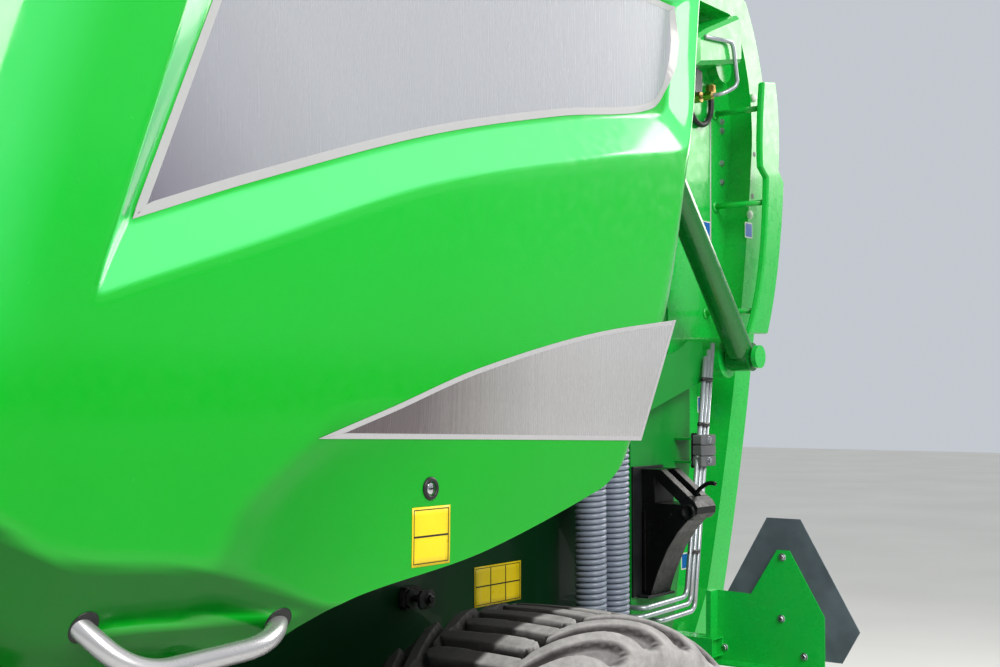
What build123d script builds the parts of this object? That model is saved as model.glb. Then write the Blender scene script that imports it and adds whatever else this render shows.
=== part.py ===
from build123d import *
import os
from math import cos, hypot, radians, sin

# Round baler, variable chamber, as it parks: on its two wheels and the drawbar's jack.
# X points forward, Y to the machine's left, Z up, and the ground is at Z = 0.
# Side outlines give (forward of the axle, up from the ground), in millimetres.

os.makedirs("parts", exist_ok=True)

# Overall places
RING_X = 2900.0
RING_OUT_R = 60.0
TAIL_REAR_TOP = (-1700.0, 2400.0)
AXLE_X = -(RING_X + RING_OUT_R + TAIL_REAR_TOP[0]) / 2
AXLE_Z = 600.0
SEAT = 0.3
TUBE_SIDES = 8
PIN_PLAY = 0.6
SPLIT_GAP = 10.0

# Wheels
WHEEL_R = AXLE_Z
TYRE_WIDTH = 500.0
TYRE_OUT = 1275.0
TREAD_DEPTH = 26.0
RIM_R = 288.0
SPINDLE_R = 35.0
AXLE_BEAM = 120.0

# Chamber walls
CHAMBER_HALF = 615.0
WALL = 8.0
WALL_OUT = CHAMBER_HALF + WALL
RIB_OUT = 700.0
SHEET = 5.0
HINGE = (-700.0, 2850.0)
LUG_R = 90.0
HINGE_PIN_R = 25.0
CHASSIS_OUTLINE = [
    (-640, 470), (300, 380), (760, 420), (860, 640), (1050, 880), (1050, 1950),
    (560, 2560), (80, 2800), (-760, 2800), (-1190, 1900), (-1190, 1450), (-1090, 1000),
]
TAIL_REAR_LOW = (-1381.0, 1030.0)
TAIL_REAR_MID = (-1590.0, 1760.0)
TAIL_TOP_BEND = (-1672.0, 2700.0)
TAIL_TOP_REAR = (-1570.0, 2900.0)
TAIL_RIM = 100.0

# Tailgate rams
RAM_Y = 800.0
RAM_LOW = (-1330.0, 1762.0)
RAM_CLOSED = 1101.0
RAM_ANGLE = 49.2
RAM_BARREL_R = 40.0
RAM_ROD_R = 22.5
RAM_PIN_R = 20.0
RAM_EYE_R = 42.0
RAM_EYE_HALF = 30.0
RAM_SIDE_GAP = 5.0
RAM_BARREL_LENGTH = 740.0

# Springs that tension the belts: rods run through them and past their ends
SPRING_Y = 735.0
SPRING_R = 42.0
SPRING_WIRE = 14.0
SPRING_LOW = 965.0
SPRING_HIGH = 1790.0
SPRING_PLACES = [-608.0, -719.0]
SPRING_PLATE = 10.0
SPRING_ROD_R = 12.0
ROD_OVER = 45.0

# Side covers
COVER_OUT = 1200.0
COVER_IN = 850.0
COVER_SKIN = 10.0
COVER_TOP = 2860.0
COVER_HINGE = (840.0, COVER_TOP - 60)
COVER_HINGE_R = 14.0
PANEL_DEPTH = 50.0
COVER_ARMS = (-250.0, 520.0)

# Pickup
PICKUP_HALF = 1000.0
PICKUP_PIVOT = (730.0, 700.0)
PICKUP_PIN_R = 18.0
PICKUP_ARM_Y = 645.0
REEL = (1300.0, 470.0)
TINE_TIP_R = 285.0
BAND_R = 195.0
BAND_WIDTH = 62.0
TINE_PITCH = 76.0
TINE_ROWS = 24
TINE_BARS = 4
BAR_CIRCLE = 120.0
GUARD_PIVOT = (1130.0, 640.0)
GUARD_PIN_R = 14.0
GAUGE_R = 190.0
GAUGE_WIDTH = 130.0
GAUGE_AT = (1180.0, 300.0)

# Feed rotor
ROTOR = (620.0, 600.0)
ROTOR_TIP_R = 225.0
ROTOR_STUB_R = 40.0

# Drawbar, gearbox and jack
BEAM_Z = 980.0
BEAM_HEIGHT = 150.0
BEAM_WIDTH = 90.0
SHAFT_FRONT = 2600.0
HEAD_X = SHAFT_FRONT - 40
RING_Z = 700.0
RING_HOLE_R = 25.5
RING_THICK = 40.0
SHAFT_Z = 1190.0
JACK_X = 2250.0
JACK_Y = 280.0


def side(y):
    """Upright plane across the machine at y: x runs forward from the axle, y runs up."""
    return Plane(origin=(AXLE_X, y, 0), x_dir=(1, 0, 0), z_dir=(0, -1, 0))


def front(x):
    """Upright plane across the machine's length: x runs to its left, y runs up, out is forward."""
    return Plane(origin=(AXLE_X + x, 0, 0), x_dir=(0, 1, 0), z_dir=(1, 0, 0))


def level(z):
    """Level plane at height z: x runs forward from the axle, y to the machine's left."""
    return Plane(origin=(AXLE_X, 0, z), x_dir=(1, 0, 0), z_dir=(0, 0, 1))


def finish(piece, name):
    """Names a finished piece and writes it."""
    piece.part.label = name
    export_step(piece.part, f"parts/{name}.step")


def bar(centre, radius, inner, outer):
    """Round bar across the machine, from inner to outer, at a side-view centre."""
    with BuildSketch(side(outer)) as disc:
        with Locations(centre):
            Circle(radius)
    return extrude(disc.sketch, amount=outer - inner)


def along(points, radius, bend):
    """Tube along a path of straight runs: rounded bends of a radius, or mitred where bend is 0."""
    with BuildLine() as path:
        if bend:
            FilletPolyline(*points, radius=bend)
        else:
            Polyline(*points)
    with BuildSketch(Plane(origin=path.line @ 0, z_dir=path.line % 0)) as section:
        RegularPolygon(radius, TUBE_SIDES)
    sweep(section.sketch, path=path.line, transition=Transition.RIGHT)


# Side-view shapes shared by several pieces
with BuildSketch() as chassis_shape:
    with BuildLine():
        Polyline(*CHASSIS_OUTLINE, close=True)
    make_face()
    with Locations(HINGE):
        Circle(LUG_R)

with BuildSketch() as chassis_reach:
    add(chassis_shape.sketch)
    offset(amount=SPLIT_GAP)

with BuildSketch() as tail_shape:
    with BuildLine():
        Polyline((-700, 620), (-980, 590), (-1190, 740), TAIL_REAR_LOW)
        ThreePointArc(TAIL_REAR_LOW, TAIL_REAR_MID, TAIL_REAR_TOP)
        ThreePointArc(TAIL_REAR_TOP, TAIL_TOP_BEND, TAIL_TOP_REAR)
        Polyline(TAIL_TOP_REAR, (-1480, 2940), (-700, 2940), (-700, 620))
    make_face()
    add(chassis_reach.sketch, mode=Mode.SUBTRACT)

with BuildSketch() as front_zone:
    add(chassis_shape.sketch)
    offset(amount=TAIL_RIM + 2 * SPLIT_GAP)

with BuildSketch() as tail_rim:
    add(tail_shape.sketch)
    offset(tail_shape.sketch, amount=-TAIL_RIM, mode=Mode.SUBTRACT)
    add(front_zone.sketch, mode=Mode.SUBTRACT)

# Rollers as (forward, up, radius): the chassis carries the first table, the tailgate the second
CHASSIS_ROLLERS = [
    (120, 800, 120), (420, 1010, 110), (430, 1290, 60), (500, 2300, 60), (60, 2660, 60),
    (-520, 600, 70),
]
TAIL_ROLLERS = [(-920, 730, 75), (-1225, 930, 75), (-1500, 2690, 70), (-1180, 2600, 60)]
ROLLER_END = 3.0
BELTS = 4
BELT_WIDTH = 275.0
BELT_PITCH = 300.0
BELT = 8.0

# Left chamber wall with its ribs, bearing housings, hinge pins and arms
AXLE_HOLE = AXLE_BEAM + 2 * SEAT
RIB_FRONT = -860.0
GUSSET_OUT = 750.0
CLAMP_Z = 1490.0
with BuildPart() as side_wall_left:
    with BuildSketch(side(WALL_OUT)):
        add(chassis_shape.sketch)
        with Locations((0, AXLE_Z)):
            Rectangle(AXLE_HOLE, AXLE_HOLE, mode=Mode.SUBTRACT)
        with Locations(ROTOR):
            Circle(ROTOR_STUB_R, mode=Mode.SUBTRACT)
    extrude(amount=WALL)
    # rear rib that the chock, the pipes and the lower guard sit on
    with BuildSketch(side(RIB_OUT)):
        with BuildLine():
            Polyline(
                (RIB_FRONT, 960), (-1070, 960), (-1090, 1000), (-1190, 1450), (-1190, 1760),
                (RIB_FRONT, 1760), close=True,
            )
        make_face()
    extrude(amount=RIB_OUT - WALL_OUT)
    # front and top edge flanges
    with BuildSketch(side(RIB_OUT)):
        Polygon((1050, 880), (1050, 1950), (1030, 1950), (1030, 886), align=None)
        Polygon((-640, 470), (300, 380), (760, 420), (760, 434), (300, 394), (-632, 484), align=None)
    extrude(amount=RIB_OUT - WALL_OUT)
    # gusset below the ram, with a drawn upper edge
    with BuildSketch(side(GUSSET_OUT)):
        with BuildLine():
            Line((-860, 1600), (-860, 1775))
            ThreePointArc((-860, 1775), (-980, 1762), (-1090, 1802))
            Polyline((-1090, 1802), (-1180, 1805), (-1180, 1690), (-860, 1600))
        make_face()
    extrude(amount=SHEET)
    with BuildSketch(side(GUSSET_OUT)):
        Polygon((-860, 1600), (-860, 1612), (-1180, 1702), (-1180, 1690), align=None)
        Polygon((-860, 1600), (-848, 1600), (-848, 1775), (-860, 1775), align=None)
    extrude(amount=GUSSET_OUT - WALL_OUT)
    # channel bracket that carries the pipes' clamp block
    with BuildSketch(level(CLAMP_Z - 36)):
        Polygon((-1185, RIB_OUT), (-1100, RIB_OUT), (-1100, 752), (-1185, 752), align=None)
    extrude(amount=6)
    with BuildSketch(level(CLAMP_Z + 30)):
        Polygon((-1185, RIB_OUT), (-1100, RIB_OUT), (-1100, 752), (-1185, 752), align=None)
    extrude(amount=6)
    for x, z, radius in CHASSIS_ROLLERS:
        bar((x, z), 55, WALL_OUT, WALL_OUT + 34)
    bar(HINGE, HINGE_PIN_R, WALL_OUT, RIB_OUT - 20)
    bar(HINGE, 45, RIB_OUT - 20, RIB_OUT - 8)
    ram_top = (
        RAM_LOW[0] + RAM_CLOSED * cos(radians(RAM_ANGLE)),
        RAM_LOW[1] + RAM_CLOSED * sin(radians(RAM_ANGLE)),
    )
    bar(ram_top, 60, WALL_OUT, RAM_Y - RAM_EYE_HALF - RAM_SIDE_GAP)
    # plates that hold the spring rods' ends
    for z in (SPRING_LOW - ROD_OVER - SEAT - SPRING_PLATE, SPRING_HIGH + ROD_OVER + SEAT):
        with BuildSketch(level(z)):
            Polygon(
                (SPRING_PLACES[1] - 45, WALL_OUT), (SPRING_PLACES[0] + 45, WALL_OUT),
                (SPRING_PLACES[0] + 30, SPRING_Y + 40), (SPRING_PLACES[1] - 30, SPRING_Y + 40),
                align=None,
            )
        extrude(amount=SPRING_PLATE)
    bar(PICKUP_PIVOT, PICKUP_PIN_R, WALL_OUT, PICKUP_ARM_Y + 24)
    # arms that carry the cover's hinge rods
    for x in COVER_ARMS:
        with BuildSketch(front(x)):
            with BuildLine():
                Polyline(
                    (WALL_OUT - 1, 2330), (WALL_OUT - 1, 2480), (COVER_HINGE[0] - 22, COVER_HINGE[1] - 10),
                    (COVER_HINGE[0] + 20, COVER_HINGE[1] - 20), (WALL_OUT + 60, 2400), (WALL_OUT - 1, 2330),
                )
            make_face()
            with Locations(COVER_HINGE):
                Circle(26)
                Circle(COVER_HINGE_R + PIN_PLAY, mode=Mode.SUBTRACT)
        extrude(amount=12)
finish(side_wall_left, "side_wall_left")

with BuildPart() as side_wall_right:
    mirror(side_wall_left.part, about=Plane.XZ)
finish(side_wall_right, "side_wall_right")

# Axle beam with its two spindles
BEAM_END = 735.0
SPINDLE_END = 1120.0
with BuildPart() as axle_beam:
    with BuildSketch(side(BEAM_END)):
        with Locations((0, AXLE_Z)):
            Rectangle(AXLE_BEAM, AXLE_BEAM)
            Rectangle(AXLE_BEAM - 20, AXLE_BEAM - 20, mode=Mode.SUBTRACT)
    extrude(amount=2 * BEAM_END)
    for y in (BEAM_END, -BEAM_END + 12):
        with BuildSketch(side(y)):
            with Locations((0, AXLE_Z)):
                Rectangle(AXLE_BEAM + 20, AXLE_BEAM + 20)
        extrude(amount=12)
    bar((0, AXLE_Z), SPINDLE_R, BEAM_END, SPINDLE_END)
    bar((0, AXLE_Z), SPINDLE_R, -SPINDLE_END, -BEAM_END)
    fillet(axle_beam.edges().filter_by(Axis.Y).group_by(SortBy.LENGTH)[-1], 9)
finish(axle_beam, "axle_beam")

# Wheels: the tyre's section is turned about the axle, and its tread is bars from shoulder to shoulder
TYRE_IN = TYRE_OUT - TYRE_WIDTH
TYRE_MID = (TYRE_OUT + TYRE_IN) / 2
CASING_R = WHEEL_R - TREAD_DEPTH
# Outer half of the tyre's section: out from the axle, across from the tyre's middle
TYRE_HALF = [
    (RIM_R, 186), (330, 206), (390, TYRE_WIDTH / 2 - 8), (455, TYRE_WIDTH / 2),
    (520, TYRE_WIDTH / 2 - 16), (556, 190), (CASING_R, 110),
]


def wheel_plane():
    """Plane through the left wheel's axis: x runs out from the axle, y runs across."""
    return Plane(origin=(AXLE_X, TYRE_MID, AXLE_Z), x_dir=(1, 0, 0), z_dir=(0, 0, 1))


def tread_block(across, turn, width, length, skew, tilt, top):
    """Planar tread block: its top is at a radius, turned about the axle, skewed, tilted outwards."""
    angle = radians(turn)
    spoke = Plane(
        origin=(AXLE_X, TYRE_MID, AXLE_Z), x_dir=(0, 1, 0), z_dir=(sin(angle), 0, cos(angle)),
    )
    seat = spoke.offset(top) * Location((across, 0, 0), (0, tilt, 0)) * Location((0, 0, 0), skew)
    with BuildSketch(seat) as block:
        Rectangle(length, width)
    extrude(block.sketch, amount=-BLOCK_DEPTH)


WHEEL_AXIS = Axis((AXLE_X, TYRE_MID, AXLE_Z), (0, 1, 0))
TYRE_BARS = 48
BLOCK_DEPTH = 45.0
with BuildPart() as tyre_left:
    with BuildSketch(wheel_plane()):
        Polygon(*TYRE_HALF, *[(out, -across) for out, across in reversed(TYRE_HALF)], align=None)
    revolve(axis=WHEEL_AXIS)
    for tread_bar in range(TYRE_BARS):
        hand = 1 if tread_bar % 2 else -1
        turn = tread_bar * 360 / TYRE_BARS
        tread_block(-10 * hand, turn, 38, 250, 0, 0, WHEEL_R - 0.4)
        tread_block(178 * hand, turn - 11, 30, 150, -62 * hand, 33 * hand, WHEEL_R - 38)
finish(tyre_left, "tyre_left")

HUB_R = 95.0
DISC_Y = 60.0
with BuildPart() as rim_left:
    with BuildSketch(wheel_plane()):
        with BuildLine():
            Polyline(
                (SPINDLE_R + PIN_PLAY, -150), (HUB_R, -150), (HUB_R, DISC_Y - 14),
                (RIM_R - 60, DISC_Y - 40), (RIM_R - 28, -206), (RIM_R + 12, -206),
                (RIM_R + 12, -196), (RIM_R - SEAT, -196), (RIM_R - SEAT, 196), (RIM_R + 12, 196),
                (RIM_R + 12, 206), (RIM_R - 20, 206), (RIM_R - 40, DISC_Y - 16),
                (HUB_R + 20, DISC_Y), (HUB_R, 130), (0, 145), (0, 130),
                (SPINDLE_R + PIN_PLAY, 120), close=True,
            )
        make_face()
    revolve(axis=WHEEL_AXIS)
    # wheel nuts
    with BuildSketch(side(TYRE_MID + DISC_Y + 16)):
        with Locations((0, AXLE_Z)):
            with PolarLocations(155, 8):
                RegularPolygon(19, 6)
    extrude(amount=40)
finish(rim_left, "rim_left")

with BuildPart() as tyre_right:
    mirror(tyre_left.part, about=Plane.XZ)
finish(tyre_right, "tyre_right")

with BuildPart() as rim_right:
    mirror(rim_left.part, about=Plane.XZ)
finish(rim_right, "rim_right")

# Rollers and belts
ROLLER_STUB_R = 22.0


def roller(centre, radius):
    """Closed roller between the walls, with a stub at each end."""
    half = CHAMBER_HALF - ROLLER_END
    bar(centre, radius, -half, half)
    bar(centre, ROLLER_STUB_R, SEAT - CHAMBER_HALF, CHAMBER_HALF - SEAT)


with BuildPart() as chassis_rollers:
    for x, z, radius in CHASSIS_ROLLERS:
        roller((x, z), radius)
finish(chassis_rollers, "chassis_rollers")

with BuildPart() as tailgate_rollers:
    for x, z, radius in TAIL_ROLLERS:
        roller((x, z), radius)
finish(tailgate_rollers, "tailgate_rollers")


def belt_run(low, high, low_r, high_r, hand):
    """One flat belt run, tangent to two rollers on one hand, on every belt's place."""
    dx, dz = high[0] - low[0], high[1] - low[1]
    length = hypot(dx, dz)
    nx, nz = -dz / length * hand, dx / length * hand
    a = (low[0] + nx * (low_r + SEAT), low[1] + nz * (low_r + SEAT))
    b = (high[0] + nx * (high_r + SEAT), high[1] + nz * (high_r + SEAT))
    c = (b[0] + nx * BELT, b[1] + nz * BELT)
    d = (a[0] + nx * BELT, a[1] + nz * BELT)
    for belt in range(BELTS):
        y = (belt - (BELTS - 1) / 2) * BELT_PITCH + BELT_WIDTH / 2
        with BuildSketch(side(y)) as run:
            Polygon(a, b, c, d, align=None)
        extrude(run.sketch, amount=BELT_WIDTH)


with BuildPart() as chassis_belts:
    belt_run((430, 1290), (500, 2300), 60, 60, -1)
    belt_run((500, 2300), (60, 2660), 60, 60, -1)
finish(chassis_belts, "chassis_belts")

with BuildPart() as tailgate_belts:
    belt_run((-1225, 930), (-1500, 2690), 75, 70, 1)
    belt_run((-920, 730), (-1225, 930), 75, 75, 1)
finish(tailgate_belts, "tailgate_belts")

# Housing at the top of each tailgate wall, over the hoses
HOUSING_OUT = 760.0
with BuildPart() as housing:
    with BuildSketch(side(HOUSING_OUT)):
        Polygon(
            (-1150, 2612), (-1430, 2672), (-1434, 2796), (-1412, 2818), (-1215, 2735), (-1150, 2700),
            align=None,
        )
    extrude(amount=HOUSING_OUT - WALL_OUT)
    chamfer(housing.faces().sort_by(Axis.Y)[-1].edges(), 12)

# Tailgate walls with their hollow rim, hinge plate and ram pin
with BuildPart() as tailgate_wall_left:
    with BuildSketch(side(WALL_OUT)):
        add(tail_shape.sketch)
    extrude(amount=WALL)
    with BuildSketch(side(RIB_OUT)):
        add(tail_rim.sketch)
    extrude(amount=RIB_OUT - WALL_OUT)
    with BuildSketch(side(RIB_OUT - SHEET)):
        offset(tail_rim.sketch, amount=-SHEET)
    extrude(amount=RIB_OUT - SHEET - WALL_OUT, mode=Mode.SUBTRACT)
    # hinge plate, outside the chassis wall
    with BuildSketch(side(WALL_OUT + 22)):
        with BuildLine():
            Polyline(
                HINGE, (HINGE[0] - 60, HINGE[1] + 40), (-900, 2930), (-1150, 2930), (-1150, 2760),
                (-820, 2740), (HINGE[0] - 40, HINGE[1] - 60), HINGE,
            )
        make_face()
        with Locations(HINGE):
            Circle(70)
            Circle(HINGE_PIN_R + PIN_PLAY, mode=Mode.SUBTRACT)
    extrude(amount=14)
    with BuildSketch(side(WALL_OUT + 8)):
        with BuildLine():
            Polyline((-930, 2925), (-1150, 2925), (-1150, 2770), (-980, 2770), (-930, 2925))
        make_face()
    extrude(amount=8)
    # lug and pin for the ram
    bar(RAM_LOW, 62, WALL_OUT, RAM_Y - 46)
    bar(RAM_LOW, RAM_PIN_R, RAM_Y - 46, RAM_Y + 46)
    bar(RAM_LOW, 34, RAM_Y + 46, RAM_Y + 60)
    add(housing.part)
    for x, z, radius in TAIL_ROLLERS:
        bar((x, z), 52, WALL_OUT, WALL_OUT + 34)
finish(tailgate_wall_left, "tailgate_wall_left")

with BuildPart() as tailgate_wall_right:
    mirror(tailgate_wall_left.part, about=Plane.XZ)
finish(tailgate_wall_right, "tailgate_wall_right")

with BuildPart() as tailgate_roof:
    with BuildSketch(side(CHAMBER_HALF - SEAT)):
        with BuildLine():
            Polyline((-850, 2935), (-1480, 2935), (-1565, 2897))
            ThreePointArc((-1565, 2897), (-1640, 2780), (-1680, 2600))
            Polyline(
                (-1680, 2600), (-1680 + SHEET, 2600), (-1640 + SHEET, 2776),
                (-1561, 2892), (-1480, 2930), (-850, 2930), (-850, 2935),
            )
        make_face()
    extrude(amount=2 * (CHAMBER_HALF - SEAT))
finish(tailgate_roof, "tailgate_roof")

TAIL_TUBES = [(-1600, 2480), (-1480, 1560)]
with BuildPart() as tailgate_tubes:
    for x, z in TAIL_TUBES:
        with BuildSketch(side(CHAMBER_HALF - SEAT)):
            with Locations((x, z)):
                Rectangle(80, 80)
                Rectangle(68, 68, mode=Mode.SUBTRACT)
        extrude(amount=2 * (CHAMBER_HALF - SEAT))
finish(tailgate_tubes, "tailgate_tubes")

# Curved guards outside the tailgate's rim
GUARD_IN = 745.0
GUARD_OUT = 815.0
GUARD_POSTS = [(-1432, 1905), (-1500, 2245), (-1500, 2540)]
with BuildPart() as guard:
    with BuildSketch(side(GUARD_OUT)) as guard_face:
        with BuildLine():
            Line((-1463, 2612), (-1545, 2625))
            ThreePointArc((-1545, 2625), (-1566, 2490), (-1562, 2350))
            Line((-1562, 2350), (-1598, 2318))
            ThreePointArc((-1598, 2318), (-1553, 2050), (-1476, 1836))
            Line((-1476, 1836), (-1356, 1832))
            ThreePointArc((-1356, 1832), (-1446, 2030), (-1485, 2318))
            Line((-1485, 2318), (-1445, 2346))
            ThreePointArc((-1445, 2346), (-1446, 2470), (-1463, 2612))
        make_face()
    extrude(amount=GUARD_OUT - GUARD_IN)
    chamfer(guard.faces().sort_by(Axis.Y)[-1].edges(), 9)
    with BuildSketch(side(GUARD_OUT - SHEET)):
        offset(guard_face.sketch_local, amount=-SHEET)
    extrude(amount=GUARD_OUT - GUARD_IN, mode=Mode.SUBTRACT)
    for post in GUARD_POSTS:
        bar(post, 9, WALL_OUT + SEAT, GUARD_OUT - SHEET)

with BuildPart() as tailgate_guards:
    add(guard.part)
    mirror(guard.part, about=Plane.XZ)
finish(tailgate_guards, "tailgate_guards")

# Rams: the barrel hangs on the tailgate's pin, and the rod reaches up to the chassis
ram_up = (cos(radians(RAM_ANGLE)), sin(radians(RAM_ANGLE)))


def ram_plane():
    """Plane across the ram at its lower pin, facing along the ram."""
    origin = (AXLE_X + RAM_LOW[0], RAM_Y, RAM_LOW[1])
    return Plane(origin=origin, x_dir=(0, 1, 0), z_dir=(ram_up[0], 0, ram_up[1]))


ram_bore = RAM_ROD_R + PIN_PLAY
with BuildPart() as ram_barrel_left:
    bar(RAM_LOW, RAM_EYE_R, RAM_Y - 35, RAM_Y + 35)
    with BuildSketch(ram_plane().offset(25)):
        Circle(RAM_BARREL_R)
    extrude(amount=RAM_BARREL_LENGTH - 25)
    with BuildSketch(ram_plane().offset(RAM_BARREL_LENGTH - 45)):
        Circle(RAM_BARREL_R + 6)
    extrude(amount=45)
    with BuildSketch(ram_plane().offset(90)):
        Circle(ram_bore)
    extrude(amount=RAM_BARREL_LENGTH, mode=Mode.SUBTRACT)
    with BuildSketch(side(RAM_Y + 36)):
        with Locations(RAM_LOW):
            Circle(RAM_PIN_R + PIN_PLAY)
    extrude(amount=72, mode=Mode.SUBTRACT)
finish(ram_barrel_left, "ram_barrel_left")

with BuildPart() as ram_rod_left:
    with BuildSketch(ram_plane().offset(400)):
        Circle(RAM_ROD_R)
    extrude(amount=RAM_CLOSED - 400 - 20)
    bar(ram_top, RAM_EYE_R, RAM_Y - RAM_EYE_HALF, RAM_Y + RAM_EYE_HALF)
    bar(ram_top, RAM_PIN_R + 10, RAM_Y + RAM_EYE_HALF, RAM_Y + RAM_EYE_HALF + 16)
finish(ram_rod_left, "ram_rod_left")

with BuildPart() as ram_barrel_right:
    mirror(ram_barrel_left.part, about=Plane.XZ)
finish(ram_barrel_right, "ram_barrel_right")

with BuildPart() as ram_rod_right:
    mirror(ram_rod_left.part, about=Plane.XZ)
finish(ram_rod_right, "ram_rod_right")

# Side covers: the side outline, the front-view section and the plan outline cut one block
COVER_FRONT = 1600.0


def cover_block(inset):
    """The cover's outer form, or the space inside its skin when inset is the skin's thickness."""
    with BuildPart() as block:
        with BuildSketch(side(COVER_OUT - inset)):
            with BuildLine():
                Polyline((-390, COVER_TOP), (-450, COVER_TOP - 70))
                ThreePointArc((-450, COVER_TOP - 70), (-352, 2240), (-240, 1850))
                ThreePointArc((-240, 1850), (-140, 1630), (30, 1470))
                Polyline((30, 1470), (720, 1312), (1090, 1190), (1480, 1190))
                ThreePointArc((1480, 1190), (1570, 1230), (COVER_FRONT, 1340))
                Polyline((COVER_FRONT, 1340), (1560, 2060), (1240, COVER_TOP - 160), (1100, COVER_TOP))
                Line((1100, COVER_TOP), (-390, COVER_TOP))
            make_face()
            offset(amount=-inset, kind=Kind.INTERSECTION)
        extrude(amount=COVER_OUT - COVER_IN)
        with BuildSketch(front(-700)):
            with BuildLine():
                Polyline((COVER_IN - 60, 1000), (COVER_OUT, 1000), (COVER_OUT, COVER_TOP - 250))
                ThreePointArc(
                    (COVER_OUT, COVER_TOP - 250), (1140, COVER_TOP - 80), (980, COVER_TOP),
                )
                Polyline((980, COVER_TOP), (COVER_IN - 60, COVER_TOP), (COVER_IN - 60, 1000))
            make_face()
            offset(amount=-inset, kind=Kind.INTERSECTION)
        extrude(amount=2600, mode=Mode.INTERSECT)
        with BuildSketch(level(900)):
            with BuildLine():
                Polyline((-700, COVER_IN - 60), (-700, COVER_OUT), (1330, COVER_OUT))
                ThreePointArc((1330, COVER_OUT), (1450, 1165), (1540, 1080))
                Polyline((1540, 1080), (1700, COVER_IN - 60), (-700, COVER_IN - 60))
            make_face()
            offset(amount=-inset, kind=Kind.INTERSECTION)
        extrude(amount=2200, mode=Mode.INTERSECT)
        crease = Plane(
            origin=(AXLE_X + 720, COVER_OUT - inset, 1312 + inset), x_dir=(680, 0, 130),
            z_dir=(13000, 115600, -68000),
        )
        split(bisect_by=crease, keep=Keep.BOTTOM)
    return block.part


# Recess for the upper panel: (forward, up) of the bevel's outer edge, then of the panel's edge
RECESS_EDGE = [
    (1274, 1769), (566, 2008), (60, 2120), (-286, 2186), (-380, 2330), (-385, COVER_TOP - 270),
    (982, COVER_TOP - 270),
]
PANEL_EDGE = [
    (1184, 1885), (506, 2109), (129, 2201), (-242, 2274), (-325, 2420), (-340, COVER_TOP - 320),
    (902, COVER_TOP - 320),
]


def recess(grow):
    """Bevelled pocket in the cover's skin, or that pocket with the skin's thickness around it."""
    with BuildPart() as pocket:
        with BuildSketch(side(COVER_OUT + 30)):
            Polygon(*RECESS_EDGE, align=None)
            if grow:
                offset(amount=grow + 20, kind=Kind.INTERSECTION)
        with BuildSketch(side(COVER_OUT - PANEL_DEPTH - grow)):
            Polygon(*PANEL_EDGE, align=None)
            if grow:
                offset(amount=grow, kind=Kind.INTERSECTION)
        loft(ruled=True)
    return pocket.part


cover_form = cover_block(0)
cover_space = cover_block(COVER_SKIN) - recess(COVER_SKIN)
with BuildPart() as cover_left:
    add(cover_form)
    add(recess(0), mode=Mode.SUBTRACT)
    add(cover_space, mode=Mode.SUBTRACT)
    # hinge lugs and rods, beside the chassis arms
    for x in COVER_ARMS:
        with BuildSketch(front(x + 20)):
            with BuildLine():
                Polyline(
                    (COVER_HINGE[0] - 20, COVER_HINGE[1] - 10),
                    (COVER_HINGE[0] - 16, COVER_HINGE[1] + 22), (880, COVER_TOP - 5),
                    (960, COVER_TOP - 5), (COVER_HINGE[0] + 20, COVER_HINGE[1] - 20),
                    (COVER_HINGE[0] - 20, COVER_HINGE[1] - 10),
                )
            make_face()
            with Locations(COVER_HINGE):
                Circle(24)
        extrude(amount=10)
        with BuildSketch(front(x - 12)):
            with Locations(COVER_HINGE):
                Circle(COVER_HINGE_R)
        extrude(amount=34)
finish(cover_left, "cover_left")

with BuildPart() as cover_right:
    mirror(cover_left.part, about=Plane.XZ)
finish(cover_right, "cover_right")

# Silver panel in the recess, and the lower flash beside it
PANEL = 3.0
FLASH_TIP = (855, 1578)
FLASH_TOP = (454, 1694)
FLASH_HEAD = (-246, 1811)
FLASH_CORNER = (-100, 1578)
with BuildPart() as trim_left:
    with BuildSketch(side(COVER_OUT - PANEL_DEPTH + SEAT + PANEL)):
        Polygon(*PANEL_EDGE, align=None)
        offset(amount=-4, kind=Kind.INTERSECTION)
    extrude(amount=PANEL)
    with BuildSketch(side(COVER_OUT + SEAT + PANEL)):
        with BuildLine():
            ThreePointArc(FLASH_TIP, FLASH_TOP, FLASH_HEAD)
            ThreePointArc(FLASH_HEAD, (-185, 1690), FLASH_CORNER)
            Line(FLASH_CORNER, FLASH_TIP)
        make_face()
    extrude(amount=PANEL)
finish(trim_left, "trim_left")

with BuildPart() as trim_right:
    mirror(trim_left.part, about=Plane.XZ)
finish(trim_right, "trim_right")

# Bent tube handle below each cover, cut to the cover's tucked-under face
GRAB_R = 16.0
GRAB_BEND = 60.0
GRAB_POINTS = [
    (1296, 1090, 1400), (1200, 1198, 1268), (948, 1198, 1278), (838, 1100, 1322),
]


def grab_path():
    """The handle's centre line in the part's frame."""
    return [(AXLE_X + x, y, z) for x, y, z in GRAB_POINTS]


with BuildPart() as grab_left:
    along(grab_path(), GRAB_R, GRAB_BEND)
    add(cover_form, mode=Mode.SUBTRACT)
finish(grab_left, "grab_left")

with BuildPart() as grab_right:
    mirror(grab_left.part, about=Plane.XZ)
finish(grab_right, "grab_right")

# Roof and front sheet between the walls
ROOF_PATH = [(1046, 1954), (558, 2556), (78, 2794), (-760, 2794)]
with BuildPart() as roof_panel:
    with BuildSketch(side(CHAMBER_HALF - SEAT)):
        with BuildLine():
            Polyline(
                *ROOF_PATH, (-760, 2794 - SHEET), (77, 2794 - SHEET), (555, 2550), (1040, 1952),
                ROOF_PATH[0],
            )
        make_face()
    extrude(amount=2 * (CHAMBER_HALF - SEAT))
finish(roof_panel, "roof_panel")

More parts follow.
